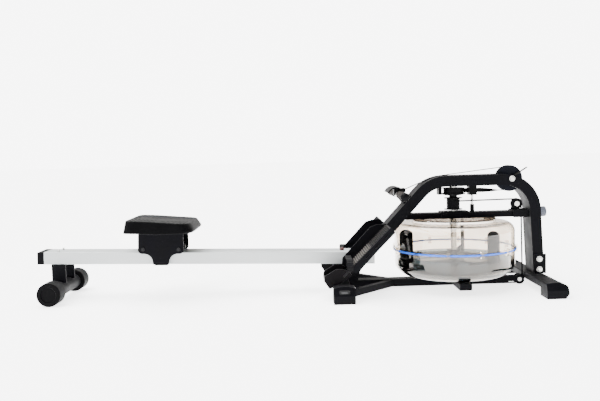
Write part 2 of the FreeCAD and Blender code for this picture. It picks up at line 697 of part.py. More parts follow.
def make_arch():
    shell = arch_ring("arch_outside", D.arch_thickness / 2, D.arch_depth)
    bore = arch_ring("arch_inside", D.arch_thickness / 2 - D.arch_wall,
                     D.arch_depth - 2 * D.arch_wall)
    slot = cross_rod("arch_slot", D.pulley_radius + D.pulley_slot_gap,
                     D.pulley_width / 2 + D.pulley_slot_gap, D.pulley_x, D.pulley_z)
    axle_hole = cross_rod("arch_axle_hole", D.axle_radius + D.running_clearance, D.arch_depth,
                          D.pulley_x, D.pulley_z)
    holes = crossbar_holes("arch", D.crossbar_radius + D.running_clearance)
    keep(cut("arch_beam", shell, bore, slot, axle_hole, *holes), "arch_beam")


def dome(name, base, side):
    """A domed bolt head on a face square to Y, pointing outwards."""
    profile = [(0, 0, 0), (D.dome_radius, 0, 0), (D.dome_radius, 2, 0),
               (D.dome_radius - 1.5, 2, 0), (D.dome_radius * 0.72, D.dome_height, 3),
               (0, D.dome_height, 0)]
    head = turned(name, profile)
    return place(head, base, (1, 0, 0), -90 * side)


def make_post_fittings():
    plates = []
    bolts = []
    centre = D.arch_depth / 2 + D.plate_wall / 2
    face = D.arch_depth / 2 + D.plate_wall
    wide = D.post_plate_width / 2
    for name, side in SIDES:
        edge = rectangle(D.post_plate_x - wide, D.post_plate_low, D.post_plate_x + wide,
                         D.post_plate_high, 2)
        plates.append(slab_at("post_plate_" + name, D.plate_wall, side * centre, edge))
        for z in (D.post_bolt_low, D.post_bolt_high):
            bolts.append(dome("post_bolt_" + name, (D.post_bolt_x, side * face, z), side))
    keep(group("post_plates", *plates), "post_plates")
    screws = [rod("stop_screw", D.stop_screw_radius, D.stop_screw_height,
                  (D.stop_station, side * D.stop_offset, 0)) for _, side in SIDES]
    stops = framed("rail_stop_screws", RAIL_FRAME, *screws)
    keep(group("frame_bolts", stops, *bolts), "frame_bolts")
    pads = []
    lean = Size(math.degrees(math.atan(POST_LEAN.number)), "(atan(%s) / (1 deg))" % POST_LEAN.text)
    for name, side in SIDES:
        profile = [(0, 0, 0), (D.standing_pad_radius, 0, 0),
                   (D.standing_pad_radius, D.standing_pad_thickness, 4),
                   (0, D.standing_pad_thickness, 0)]
        pad = turned("standing_pad_" + name, profile)
        face_x = post_side(D.standing_pad_z, 1)
        place(pad, (face_x, side * D.standing_pad_offset, D.standing_pad_z), (0, 1, 0), 90 - lean)
        pads.append(pad)
    keep(group("standing_pads", *pads), "standing_pads")


def make_deck():
    """Drive deck between the arch's leg and post, and the flat pieces that are bolted to it."""
    low = D.deck_low
    high = D.deck_high
    edge = [(leg_side(low, 1), low, 0), (D.deck_front_x, low, 0),
            (D.deck_front_x, high, 0), (leg_side(high, 1), high, 0)]
    beam = slab_at("deck_blank", D.deck_width, 0, edge)
    hole = rod("deck_hole", D.shaft_radius + 1, high - low + 2, (D.tank_x, 0, low - 1))
    keep(cut("drive_deck", beam, hole), "drive_deck")
    links = []
    for name, side in SIDES:
        corners = [(D.link_rear_x, low - 2, 3), (post_side(low - 2, -1), low - 2, 0),
                   (post_side(high + 4, -1), high + 4, 0), (D.link_rear_x, high + 4, 3)]
        y = side * (D.deck_width / 2 + D.link_wall / 2)
        links.append(slab_at("deck_link_" + name, D.link_wall, y, corners))
    clip = box("deck_clip", (D.clip_width, 4, high - low - 4),
               (D.clip_x - D.clip_width / 2, -D.deck_width / 2 - 4, low))
    thick = D.drive_plate_thickness
    plate = box("drive_plate_blank", (D.drive_plate_length, D.deck_width, thick),
                (D.tank_x - D.drive_plate_length / 2, -D.deck_width / 2, high))
    bore = D.shaft_radius + D.free_clearance
    opening = rod("drive_plate_hole", bore, 2 * thick, (D.tank_x, 0, high - thick / 2))
    guard_low = D.reel_low + 4
    guard = box("reel_guard", (D.guard_thickness, D.guard_width, ARCH_UNDERSIDE - guard_low),
                (D.tank_x - D.reel_radius - 1.5 - D.guard_thickness, -D.guard_width / 2, guard_low))
    trimmed = cut("reel_guard_trimmed", guard,
                  arch_ring("reel_guard_trim", D.arch_thickness / 2 + D.free_clearance, D.arch_depth))
    keep(group("deck_brackets", clip, cut("drive_plate", plate, opening), trimmed, *links),
         "deck_brackets")


# ---------------------------------------------------------------- tank and impeller

def make_tank():
    base = (D.tank_x, 0, 0)
    outer = TANK_WALL_RADIUS
    wall = D.tank_wall
    low_seam = D.tank_seam - D.gasket_thickness / 2
    high_seam = D.tank_seam + D.gasket_thickness / 2
    flange = D.flange_thickness
    haunch = D.tank_bottom + D.tank_haunch_rise
    bend = D.tank_lower_bend
    lower = [(0, D.tank_bottom, 0), (TANK_FLOOR_RADIUS, D.tank_bottom, bend),
             (TANK_HAUNCH_RADIUS, haunch, bend), (outer, D.tank_haunch_z, bend / 1.5),
             (outer, low_seam - flange, 0), (D.tank_flange_radius, low_seam - flange, 0),
             (D.tank_flange_radius, low_seam, 0), (outer - wall, low_seam, 0),
             (outer - wall, D.tank_haunch_z, bend / 1.5 - wall),
             (TANK_HAUNCH_RADIUS - wall / 2, haunch + wall, bend - wall),
             (TANK_FLOOR_RADIUS, D.tank_bottom + wall, bend - wall), (0, D.tank_bottom + wall, 0)]
    keep(turned("tank_lower_shell", lower, base), "tank_lower_shell")
    crown = D.tank_crown_z
    shoulder = D.tank_shoulder_bend
    upper = [(outer - wall, high_seam, 0), (D.tank_flange_radius, high_seam, 0),
             (D.tank_flange_radius, high_seam + flange, 0), (outer, high_seam + flange, 0),
             (outer, D.tank_shoulder_z, shoulder), (TANK_CROWN_RADIUS, crown, shoulder / 2),
             (TANK_MOUTH_RADIUS, D.lid_low, 0), (TANK_MOUTH_RADIUS, D.lid_low - wall, 0),
             (TANK_CROWN_RADIUS - 1, crown - wall, shoulder / 2 - wall),
             (outer - wall, D.tank_shoulder_z - 2, shoulder - wall)]
    keep(turned("tank_upper_shell", upper, base), "tank_upper_shell")
    gasket = [(outer - wall, low_seam, 0), (GASKET_RADIUS, low_seam, 0),
              (GASKET_RADIUS, high_seam, 0), (outer - wall, high_seam, 0)]
    keep(turned("tank_gasket", gasket, base), "tank_gasket")
    bore = D.shaft_radius + D.free_clearance
    lid = [(bore, D.lid_low, 0), (LID_RADIUS, D.lid_low, 0), (LID_RADIUS, D.lid_high - 3, 0),
           (LID_RADIUS - 3, D.lid_high, 0), (bore, D.lid_high, 0)]
    keep(turned("tank_lid", lid, base), "tank_lid")
    make_tank_clips()
    make_water()


def make_tank_clips():
    """C-shaped clips round the flange, made once and turned about the tank's axis."""
    thick = D.tank_clip_wall
    inner = D.tank_flange_radius - 9
    outer = GASKET_RADIUS + D.free_clearance
    grip = D.gasket_thickness / 2 + D.flange_thickness + D.free_clearance
    low = D.tank_seam - D.tank_clip_height / 2
    high = D.tank_seam + D.tank_clip_height / 2
    back = TANK_WALL_RADIUS + D.free_clearance
    edge = [(back, low, 0), (outer + thick, low, 0), (outer + thick, high, 0), (back, high, 0),
            (back, D.tank_seam + grip, 0), (outer, D.tank_seam + grip, 0),
            (outer, D.tank_seam - grip, 0), (back, D.tank_seam - grip, 0)]
    count = int(D.clip_count.number)
    clips = []
    for index in range(count):
        clip = slab("tank_clip", "XZ_Plane", D.tank_clip_width, edge)
        clips.append(place(clip, (D.tank_x, 0, 0), (0, 0, 1),
                           index * 360 / count + D.clip_phase))
    keep(group("tank_clips", *clips), "tank_clips")


def make_water():
    gap = D.water_gap
    wall = D.tank_wall + gap
    outer = TANK_WALL_RADIUS - wall
    haunch = D.tank_bottom + D.tank_haunch_rise
    bend = D.tank_lower_bend
    sweep = D.sweep_clearance
    profile = [(D.shaft_radius + sweep / 2, D.tank_bottom + wall, 0),
               (TANK_FLOOR_RADIUS, D.tank_bottom + wall, bend - wall),
               (TANK_HAUNCH_RADIUS - wall / 2, haunch + wall, bend - wall),
               (outer, D.tank_haunch_z, bend / 1.5 - wall), (outer, D.water_level, 0),
               (BLADE_OUTER + sweep / 2, D.water_level, 0),
               (BLADE_OUTER + sweep / 2, D.tank_haunch_z, 0),
               (BLADE_OUTER - sweep * 4, D.blade_low - sweep / 2, 0),
               (BLADE_INNER - sweep, D.blade_low - sweep / 2, 0),
               (BLADE_INNER - sweep, D.water_level, 0),
               (D.shaft_radius + sweep / 2, D.water_level, 0)]
    keep(turned("tank_water", profile, (D.tank_x, 0, 0)), "tank_water")


def make_impeller():
    spindle = D.spindle_radius
    top = ARCH_UNDERSIDE - 2
    profile = [(0, D.shaft_low, 0), (D.shaft_radius, D.shaft_low, 0),
               (D.shaft_radius, D.shaft_shoulder, 0), (spindle, D.shaft_shoulder, 0),
               (spindle, top, 0), (0, top, 0)]
    keep(turned("impeller_shaft", profile, (D.tank_x, 0, 0)), "impeller_shaft")
    bore = D.shaft_radius
    hub = turned("impeller_hub", [(bore, D.hub_low, 0), (D.hub_radius, D.hub_low, 2),
                                  (D.hub_radius, D.hub_low + D.hub_height, 2),
                                  (bore, D.hub_low + D.hub_height, 0)])
    pieces = [hub]
    count = int(D.blade_count.number)
    arm_low = D.hub_low + (D.hub_height - D.arm_height) / 2
    for index in range(count):
        turn = index * 360 / count + D.blade_phase
        heel = BLADE_OUTER - BLADE_INNER - 6
        edge = [(BLADE_INNER, D.blade_low, 6), (BLADE_OUTER - heel * 0.55, D.blade_low, 12),
                (BLADE_OUTER, D.blade_low + heel * 0.8, 12),
                (BLADE_OUTER, D.blade_high, D.blade_corner),
                (BLADE_INNER, D.blade_high, D.blade_corner)]
        blade = slab("impeller_blade", "XZ_Plane", D.blade_thickness, edge)
        pieces.append(place(blade, (0, 0, 0), (0, 0, 1), turn))
        arm = slab("impeller_arm", "XZ_Plane", D.arm_thickness,
                   rectangle(D.hub_radius - 4, arm_low, BLADE_INNER + 8, arm_low + D.arm_height))
        pieces.append(place(arm, (0, 0, 0), (0, 0, 1), turn))
    blades = fuse("impeller_blades", *pieces)
    keep(place(blades, (D.tank_x, 0, 0)), "impeller_blades")


# ---------------------------------------------------------------- drive

def make_reel():
    base = (D.tank_x, 0, 0)
    bore = D.spindle_radius + D.running_clearance
    flange = D.reel_flange
    rim = D.reel_radius
    high = REEL_ROOF
    reel = [(bore, D.reel_low, 0), (rim * 0.62, D.reel_low, 0), (rim * 0.8, D.reel_low + 2, 2),
            (rim, D.reel_low + flange, 2), (rim, REEL_FLOOR, 0),
            (D.belt_coil_radius, REEL_FLOOR, 0), (D.belt_coil_radius, high, 0),
            (rim * 0.92, high, 0), (rim * 0.92, D.reel_high, 0), (bore, D.reel_high, 0)]
    keep(turned("belt_reel", reel, base), "belt_reel")
    wheel = D.spool_flange_radius
    drum = D.spool_radius
    flange = D.spool_flange
    spool = [(bore, D.spool_low, 0), (wheel, D.spool_low, 1), (wheel, D.spool_low + flange, 1),
             (drum, D.spool_low + flange, 0), (drum, D.spool_high - flange, 0),
             (wheel, D.spool_high - flange, 1), (wheel, D.spool_high, 1),
             (D.spindle_radius * 2, D.spool_high, 0), (D.spindle_radius * 2, D.reel_low, 0),
             (bore, D.reel_low, 0)]
    keep(turned("bungee_spool", spool, base), "bungee_spool")


def make_drive_fittings():
    """The shaft's two bearings, and the post that guides the belt onto its reel."""
    spindle = D.spindle_radius + D.running_clearance
    low = D.reel_high + D.free_clearance
    top = turned("top_bearing", [(spindle, low, 0), (D.bearing_radius, low, 0),
                                 (D.bearing_radius, ARCH_UNDERSIDE, 0), (spindle, ARCH_UNDERSIDE, 0)],
                 (D.tank_x, 0, 0))
    outer = D.shaft_radius + 1
    inner = D.shaft_radius + D.running_clearance
    seat = turned("deck_bearing", [(inner, D.deck_low, 0), (outer, D.deck_low, 0),
                                   (outer, D.deck_high, 0), (inner, D.deck_high, 0)],
                  (D.tank_x, 0, 0))
    keep(group("shaft_bearings", top, seat), "shaft_bearings")
    base = D.deck_high
    block_low = D.guide_block_low
    post = rod("guide_rod", D.guide_rod_radius, block_low - D.guide_sleeve_high,
               (D.guide_x, 0, D.guide_sleeve_high))
    keep(post, "guide_rod")
    sleeve = rod("guide_sleeve", D.guide_sleeve_radius, D.guide_sleeve_high - base,
                 (D.guide_x, 0, base))
    width = D.guide_block_width
    block = box("guide_block_blank", (D.guide_block_length, width, ARCH_UNDERSIDE - block_low),
                (D.guide_x - D.guide_block_length / 2, -width / 2, block_low))
    slot = box("guide_slot", (2 * D.guide_block_length, D.guide_slot, D.belt_width + 3),
               (D.guide_x - D.guide_block_length, -D.guide_slot / 2,
                BELT_LEVEL - D.belt_width / 2 - 1.5))
    keep(group("belt_guide", sleeve, cut("guide_block", block, slot)), "belt_guide")


def pulley_profile(outer, groove, width, wall, bore):
    half = width / 2
    return [(bore, -half, 0), (outer, -half, 1), (outer, wall - half, 0), (groove, wall - half, 0),
            (groove, half - wall, 0), (outer, half - wall, 0), (outer, half, 1), (bore, half, 0)]


def make_belt_pulley():
    bore = D.axle_radius + D.running_clearance
    profile = pulley_profile(D.pulley_radius, D.pulley_floor_radius, D.pulley_width,
                             D.pulley_wall, bore)
    keep(turned("belt_pulley", profile, (D.pulley_x, 0, D.pulley_z), "Y"), "belt_pulley")
    half = D.arch_depth / 2
    shank = cross_rod("pulley_axle_shank", D.axle_radius, half, D.pulley_x, D.pulley_z)
    heads = [dome("pulley_axle_head", (D.pulley_x, side * half, D.pulley_z), side)
             for _, side in SIDES]
    keep(fuse("belt_pulley_axle", shank, *heads), "belt_pulley_axle")


def make_bungee_pulleys():
    bore = D.bungee_axle_radius + D.running_clearance
    width = D.bungee_pulley_width
    places = (("upper", D.upper_pulley_x, D.upper_pulley_z, D.upper_pulley_radius,
               D.upper_cord_radius),
              ("lower", D.lower_pulley_x, D.lower_pulley_z, D.lower_pulley_radius,
               D.lower_cord_radius))
    axles = []
    for name, x, z, radius, cord_line in places:
        groove = cord_line - D.cord_radius - 0.3
        profile = pulley_profile(radius, groove, width, 2.2, bore)
        node = "bungee_pulley_" + name
        keep(turned(node, profile, (x, 0, z), "Y"), node)
        reach = width / 2 + D.fork_wall + 1 + 2
        pin = cross_rod("bungee_axle_" + name, D.bungee_axle_radius, reach, x, z)
        head = rod("bungee_axle_head_" + name, D.bungee_axle_radius * 2, 2, (x, -reach, z), "Y")
        if name == "upper":
            head = rod("bungee_washer", D.bungee_axle_radius * 2.4, 2,
                       (x, -width / 2 - 0.5 - 2, z), "Y")
            pin = rod("bungee_axle_pin", D.bungee_axle_radius, width + D.fork_wall + 4,
                      (x, -width / 2 - 2.5, z), "Y")
        axles.append(fuse("bungee_axle_set_" + name, pin, head))
    keep(group("bungee_axles", *axles), "bungee_axles")
    make_bungee_mounts()


def make_bungee_mounts():
    half = D.bungee_pulley_width / 2 + 1
    wall = D.fork_wall
    bore = D.bungee_axle_radius + D.running_clearance
    x = D.upper_pulley_x
    ear = [(x - 20, D.deck_high, 0), (x + 9, D.deck_high, 0), (x + 13, D.upper_pulley_z, 0),
           (x + 9, D.upper_pulley_z + 13, 7), (x - 9, D.upper_pulley_z + 13, 7),
           (x - 15, D.upper_pulley_z, 0)]
    plate = slab_at("upper_ear", wall, half + wall / 2, ear)
    foot = box("upper_ear_foot", (29, 28, 3), (x - 20, -14, D.deck_high))
    hole = cross_rod("upper_ear_hole", bore, 60, x, D.upper_pulley_z)
    upper = cut("upper_pulley_bracket", fuse("upper_bracket_blank", plate, foot), hole)
    front = D.front_foot_x - D.front_tube_width / 2
    x = D.lower_pulley_x
    z = D.lower_pulley_z
    forks = []
    for name, side in SIDES:
        disc = cross_rod("fork_disc_" + name, D.fork_radius, wall / 2, x, z)
        place(disc, (x, side * (half + wall / 2) - wall / 2, z), (1, 0, 0), -90)
        tail = box("fork_tail", (x - D.base_front_x + 17, wall,
                                 D.base_high - D.base_low - 2 * D.tube_wall),
                   (D.base_front_x - 17, side * (half + wall / 2) - wall / 2,
                    D.base_low + D.tube_wall))
        nose = box("fork_nose", (front - x, wall, D.base_high - D.front_tube_low - 2),
                   (x, side * (half + wall / 2) - wall / 2, D.front_tube_low + 1))
        forks.append(cut("fork_" + name, fuse("fork_blank_" + name, disc, tail, nose),
                         cross_rod("fork_hole", bore, 60, x, z),
                         box("fork_front", (60, 80, 200), (front, -40, 0))))
    block = box("fork_block", (16, D.base_width - 2 * D.tube_wall,
                               D.base_high - D.base_low - 2 * D.tube_wall),
                (D.base_front_x - 17.5, D.tube_wall - D.base_width / 2, D.base_low + D.tube_wall))
    lower = fuse("lower_pulley_fork", block, *forks)
    side_trim = [box("fork_trim", (40, 2 * half, 60), (D.base_front_x, -half, 0))]
    lower = cut("lower_pulley_fork_cut", lower, *side_trim)
    anchor = box("bungee_anchor", (D.anchor_length, 16, D.base_low - 2),
                 (D.anchor_x - D.anchor_length, -8, 2))
    keep(group("bungee_mounts", upper, lower, anchor), "bungee_mounts")


def make_bungee_cord():
    """Elastic return cord: from the spool over the upper pulley, down, and back below the base."""
    reach = D.spool_radius + D.cord_radius + D.free_clearance
    high = D.upper_pulley_z + D.upper_cord_radius
    low = D.lower_pulley_z - D.lower_cord_radius
    top_x = D.upper_pulley_x + D.upper_cord_radius
    low_x = D.lower_pulley_x + D.lower_cord_radius
    route = [(D.tank_x, -reach, high), (top_x, 0, high), (low_x, 0, low), (D.anchor_x, 0, low)]
    bends = (D.upper_cord_radius, D.lower_cord_radius)
    shape = pipe(route, bends, D.cord_radius)
    keep(shape_feature("bungee_cord", shape), "bungee_cord")


def strip(points, across, width, thickness):
    """A flat strip of webbing along points, its width lying along the unit vector across."""
    ahead = []
    behind = []
    for index, point in enumerate(points):
        before = points[max(index - 1, 0)]
        after = points[min(index + 1, len(points) - 1)]
        normal = across.cross((after - before).normalize())
        ahead.append(point + normal * (thickness / 2) - across * (width / 2))
        behind.append(point - normal * (thickness / 2) - across * (width / 2))
    loop = Part.makePolygon(ahead + behind[::-1] + ahead[:1])
    return Part.Face(loop).extrude(across * width)


def twisted_strip(start, end, width, thickness):
    """A strip that lies across the machine at its start and stands upright at its end."""
    sections = []
    steps = 6
    for step in range(steps + 1):
        share = step / steps
        centre = start + (end - start) * share
        turn = math.radians(90 * share)
        across = FreeCAD.Vector(0, math.cos(turn), math.sin(turn)) * (width / 2)
        normal = FreeCAD.Vector(0, -math.sin(turn), math.cos(turn)) * (thickness / 2)
        corners = [centre + across + normal, centre - across + normal,
                   centre - across - normal, centre + across - normal]
        sections.append(Part.makePolygon(corners + corners[:1]))
    return Part.makeLoft(sections, True, True)


def arc_points(centre, radius, start, end, count):
    angles = [math.radians(start + (end - start) * step / count) for step in range(count + 1)]
    return [centre + FreeCAD.Vector(math.cos(a), 0, math.sin(a)) * radius for a in angles]


def make_belt():
    """Webbing belt: handle to arch top to pulley, round it, and back with a quarter twist."""
    width = float(D.belt_width)
    thick = float(D.belt_thickness)
    sideways = FreeCAD.Vector(0, 1, 0)
    upright = FreeCAD.Vector(0, 0, 1)
    leg_angle = math.atan2(float(LEG_RISE), float(LEG_RUN))
    bend_x = float(D.arch_left_x) + float(D.arch_left_bend) * math.tan(leg_angle / 2)
    bend = FreeCAD.Vector(bend_x, 0, float(D.arch_top_z - D.arch_left_bend))
    over = float(D.arch_left_bend + D.arch_thickness / 2 + D.free_clearance) + thick / 2
    hub = FreeCAD.Vector(float(D.pulley_x), 0, float(D.pulley_z))
    wrap = float(D.pulley_floor_radius + D.free_clearance) + thick / 2
    clip = FreeCAD.Vector(float(D.yoke_x), 0, float(D.yoke_z))
    gap = hub - bend
    leave = 90 + math.degrees(math.atan2(gap.z, gap.x) - math.asin((over - wrap) / gap.Length))
    reach = clip - bend
    meet = math.degrees(math.atan2(reach.z, reach.x) - math.acos(over / reach.Length))
    lay = arc_points(bend, over, meet, leave, 6)
    landing = arc_points(hub, wrap, leave, -90, 24)
    keep(shape_feature("belt_strand", strip([clip] + lay + landing[:1], sideways, width, thick)),
         "belt_strand")
    flat_end = FreeCAD.Vector(float(D.pulley_x) - 40, 0, float(D.pulley_z) - wrap)
    wrapped = strip(arc_points(hub, wrap, leave - 0.6, -90, 24) + [flat_end], sideways, width, thick)
    half_block = float(D.guide_block_length) / 2 + 3
    entry = FreeCAD.Vector(float(D.guide_x) + half_block, 0, float(BELT_LEVEL))
    leaving = FreeCAD.Vector(float(D.guide_x) - half_block, 0, float(BELT_LEVEL))
    coil = float(D.belt_coil_radius + D.free_clearance) + thick / 2
    run = leaving.x - float(D.tank_x)
    swing = math.acos(coil / run)
    touch = FreeCAD.Vector(float(D.tank_x) + coil * math.cos(swing), coil * math.sin(swing),
                           leaving.z)
    tail = strip([entry, leaving, touch], upright, width, thick)
    twist = twisted_strip(flat_end, entry, width, thick)
    keep(shape_feature("drive_belt", Part.makeCompound([wrapped, twist, tail])), "drive_belt")


def make_hoop():
    """A bent wire hoop that stands on the arch's front bend beside the belt pulley."""
    half = D.hoop_width / 2
    middle = D.hoop_y
    stand = D.arch_right_bend + D.arch_thickness / 2 + D.hoop_wire + 0.1
    foot_x = D.arch_right_x - D.arch_right_bend * (1 - POST_LEAN) + stand * cosine(D.hoop_angle)
    foot_z = D.arch_top_z - D.arch_right_bend + stand * sine(D.hoop_angle)
    tip_x = foot_x + D.hoop_length
    tip_z = foot_z + D.hoop_rise
    route = [(foot_x, middle - half, foot_z), (tip_x, middle - half, tip_z),
             (tip_x, middle + half, tip_z), (foot_x, middle + half, foot_z)]
    bend = half - 0.2
    keep(shape_feature("console_hoop", pipe(route, (bend, bend), D.hoop_wire)), "console_hoop")


# ---------------------------------------------------------------- handle

def make_handle():
    x = D.handle_x
    z = D.handle_z
    keep(cross_rod("handle_bar", D.handle_bar_radius, D.handle_half - 6, x, z), "handle_bar")
    grips = []
    plugs = []
    bore = D.handle_bar_radius
    length = D.grip_outer - D.grip_inner
    for name, side in SIDES:
        grip = turned("grip_" + name, [(bore, 0, 0), (D.grip_radius, 0, 2),
                                       (D.grip_radius, length, 2), (bore, length, 0)])
        place(grip, (x, side * D.grip_inner, z), (1, 0, 0), -90 * side)
        grips.append(grip)
        reach = D.handle_half - D.grip_outer
        socket = reach - 6
        radius = D.plug_radius
        plug = turned("plug_" + name, [(0, socket, 0), (bore, socket, 0), (bore, 0, 0),
                                       (radius, 0, 2), (radius, reach + 6, 10), (0, reach + 6, 0)])
        place(plug, (x, side * D.grip_outer, z), (1, 0, 0), -90 * side)
        plugs.append(plug)
    keep(group("handle_grips", *grips), "handle_grips")
    keep(group("handle_end_plugs", *plugs), "handle_end_plugs")
    outer = rod("cover_outer", D.cover_radius, 2 * D.cover_half, (D.cover_x, -D.cover_half, D.cover_z), "Y")
    inner = rod("cover_inner", D.cover_radius - D.cover_wall, 2 * D.cover_half + 2,
                (D.cover_x, -D.cover_half - 1, D.cover_z), "Y")
    below = box("cover_below", (4 * D.cover_radius, 4 * D.cover_half, 2 * D.cover_radius),
                (D.cover_x - 2 * D.cover_radius, -2 * D.cover_half,
                 D.cover_z - 2 * D.cover_radius + D.cover_radius * 0.42))
    shell = cut("cover_shell", outer, inner, below)
    web = box("yoke_web", (D.handle_bar_radius * 2, 2 * D.yoke_half,
                           D.cover_radius - D.cover_wall / 2 - 4),
              (x - D.handle_bar_radius * 1.4, -D.yoke_half, z - 4))
    arm = slab_at("yoke_arm", 2 * D.yoke_half, 0,
                  [(x, z - 6, 0), (D.yoke_x, D.yoke_z - 9, 3), (D.yoke_x, D.yoke_z + 5, 3),
                   (x, z + 22, 0)])
    bar_hole = cross_rod("yoke_hole", D.handle_bar_radius + D.running_clearance, D.handle_half,
                         x, z)
    slot = box("yoke_slot", (20, D.belt_width + 4, D.belt_thickness + 5),
               (D.yoke_x - 12, -D.belt_width / 2 - 2, D.yoke_z - 3.5))
    yoke = cut("handle_yoke", fuse("yoke_blank", shell, web, arm), bar_hole, slot)
    keep(yoke, "handle_yoke")
    make_handle_rest()


def make_handle_rest():
    """Cradle on the arch's slanted leg: it carries the bar and stops it on the uphill side."""
    length = leg_length()
    along_x = LEG_RUN / length
    along_z = LEG_RISE / length
    foot_x = leg_side(D.handle_z, -1)
    offset_x = D.handle_x - foot_x
    along = offset_x * along_x
    lift = -offset_x * along_z
    touch = D.handle_bar_radius + D.wheel_gap
    top = lift - touch

    def at(run, rise, radius):
        return (foot_x + (along + run) * along_x - rise * along_z,
                D.handle_z + (along + run) * along_z + rise * along_x, radius)

    corners = [at(-14, 0, 0), at(26, 0, 0), at(touch + 5, top + 5, 1), at(touch, top + 5, 1),
               at(touch, top, 2), at(-9, top, 3)]
    plates = [slab_at("rest_plate_" + name, D.rest_wall, side * D.rest_offset, corners)
              for name, side in SIDES]
    pad = slab_at("rest_base", 2 * D.rest_offset, 0, [at(-14, 0, 0), at(26, 0, 0), at(26, 4, 0),
                                                      at(-14, 4, 0)])
    keep(fuse("handle_rest", pad, *plates), "handle_rest")


# ---------------------------------------------------------------- footplates

def footplate(name, side):
    wall = D.footplate_wall
    inner = D.footplate_inner
    outer = D.footplate_outer
    length = D.footplate_length
    floor = box("foot_floor_" + name, (length, outer - inner, wall),
                (0, side * (outer + inner) / 2 - (outer - inner) / 2, D.footplate_floor))
    flange_edge = [(0, 0, 4), (length, 0, 4), (length, D.flange_height, 4), (0, D.flange_height, 0)]
    slots = []
    for index in range(3):
        start = D.slot_first + D.slot_pitch * index - D.slot_length / 2
        slots.append(rectangle(start, D.slot_low, start + D.slot_length,
                               D.slot_low + D.slot_height, 3))
    flange = slab_at("foot_flange_" + name, wall, side * (outer - wall / 2), flange_edge, *slots)
    tall = D.guard_height
    guard_edge = [(-36, -D.guard_drop, 8), (length * 0.85, -D.guard_drop, 8), (length, 6, 4),
                  (length, D.flange_height, 4), (length * 0.86, tall - 6, 12),
                  (length * 0.76, tall + 5, 12), (0, tall, 10), (-36, tall - 30, 8)]
    guard = slab_at("foot_guard_" + name, wall, side * (inner + wall / 2), guard_edge)
    plate = framed("footplate_" + name, FOOT_FRAME, fuse("footplate_blank_" + name, floor, flange,
                                                         guard))
    holes = crossbar_holes("footplate_" + name, D.crossbar_radius + D.running_clearance)
    return cut("footplate_cut_" + name, plate, *holes)


def heel_cup(name, side):
    """Sliding heel cup: a leaned tray with a back wall and a tongue below the footplate floor."""
    inner = D.footplate_inner + D.footplate_wall + D.heel_inner_gap
    outer = D.footplate_outer - D.footplate_wall - D.heel_outer_gap
    width = outer - inner
    middle = side * (outer + inner) / 2
    far = -D.heel_length - 14
    near = D.heel_wall * -2.5
    edge = [(near, 3, 3), (far, 29, 8), (far + 8, 66, 6), (far + 23, 76, 6),
            (near - 25, 64, 10), (near - 6, 45, 6), (near + 2, 16, 0)]
    blank = slab_at("heel_blank_" + name, width, middle, edge)
    wall = D.heel_wall
    hollow = [(near + 40, 13, 0), (near - 4, 13, 4), (far + 10, 37, 10), (far + 14, 66, 6),
              (far + 20, 100, 0), (near + 40, 100, 0)]
    inside = slab_at("heel_hollow_" + name, width - 2 * wall, middle, hollow)
    tray = cut("heel_tray_" + name, blank, inside)
    tongue = slab_at("heel_tongue_" + name, width - 4 * wall, middle,
                     [(near - 8, 6, 0), (D.heel_tongue, 12, 3),
                      (D.heel_tongue, D.footplate_floor - D.free_clearance, 3),
                      (near - 8, D.footplate_floor - 7, 0)])
    floor = D.footplate_floor - D.free_clearance
    reach = D.footplate_outer
    trim = box("heel_trim_" + name, (D.heel_tongue, 2 * reach, 2 * D.heel_length),
               (-D.free_clearance, -reach, floor))
    slot_height = D.footplate_wall + D.tread_height + 2 * D.free_clearance
    slot = box("heel_slot_" + name, (D.heel_travel + 1, 2 * reach, slot_height),
               (-D.heel_travel - D.free_clearance, -reach, floor))
    solid = cut("heel_trimmed_" + name, fuse("heel_cup_blank_" + name, tray, tongue), trim, slot)
    node = "heel_cup_" + name
    keep(framed(node, FOOT_FRAME, solid), node)


def foot_strap(name, side):
    """Webbing strap from the outer flange, up and over the foot to the inner guard."""
    thick = D.strap_thickness
    outer = D.footplate_outer + D.wheel_gap + thick
    inner = D.footplate_inner + D.footplate_wall + D.wheel_gap
    low = D.strap_low
    high = D.strap_high
    bend = D.strap_bend
    land = D.strap_land
    edge = [(side * outer, low, 0), (side * outer, high, bend), (side * inner, high, bend),
            (side * inner, land, 0), (side * (inner + thick), land, 0),
            (side * (inner + thick), high - thick, bend - thick),
            (side * (outer - thick), high - thick, bend - thick), (side * (outer - thick), low, 0)]
    strap = slab("strap_" + name, "YZ_Plane", D.strap_width, edge)
    return place(strap, (D.strap_x, 0, 0))


def make_footrest():
    keep(group("footplates", *[footplate(name, side) for name, side in SIDES]), "footplates")
    treads = []
    margin = D.tread_margin
    inner = D.footplate_inner + D.footplate_wall + 1
    outer = D.footplate_outer - D.footplate_wall - 1
    for name, side in SIDES:
        treads.append(box("tread_" + name, (D.footplate_length - 2 * margin, outer - inner,
                                            D.tread_height),
                          (margin, side * (outer + inner) / 2 - (outer - inner) / 2,
                           D.footplate_floor + D.footplate_wall)))
        heel_cup(name, side)
    keep(framed("foot_treads", FOOT_FRAME, *treads), "foot_treads")
    keep(group("foot_straps", *[foot_strap(name, side) for name, side in SIDES]), "foot_straps")


# ---------------------------------------------------------------- seat

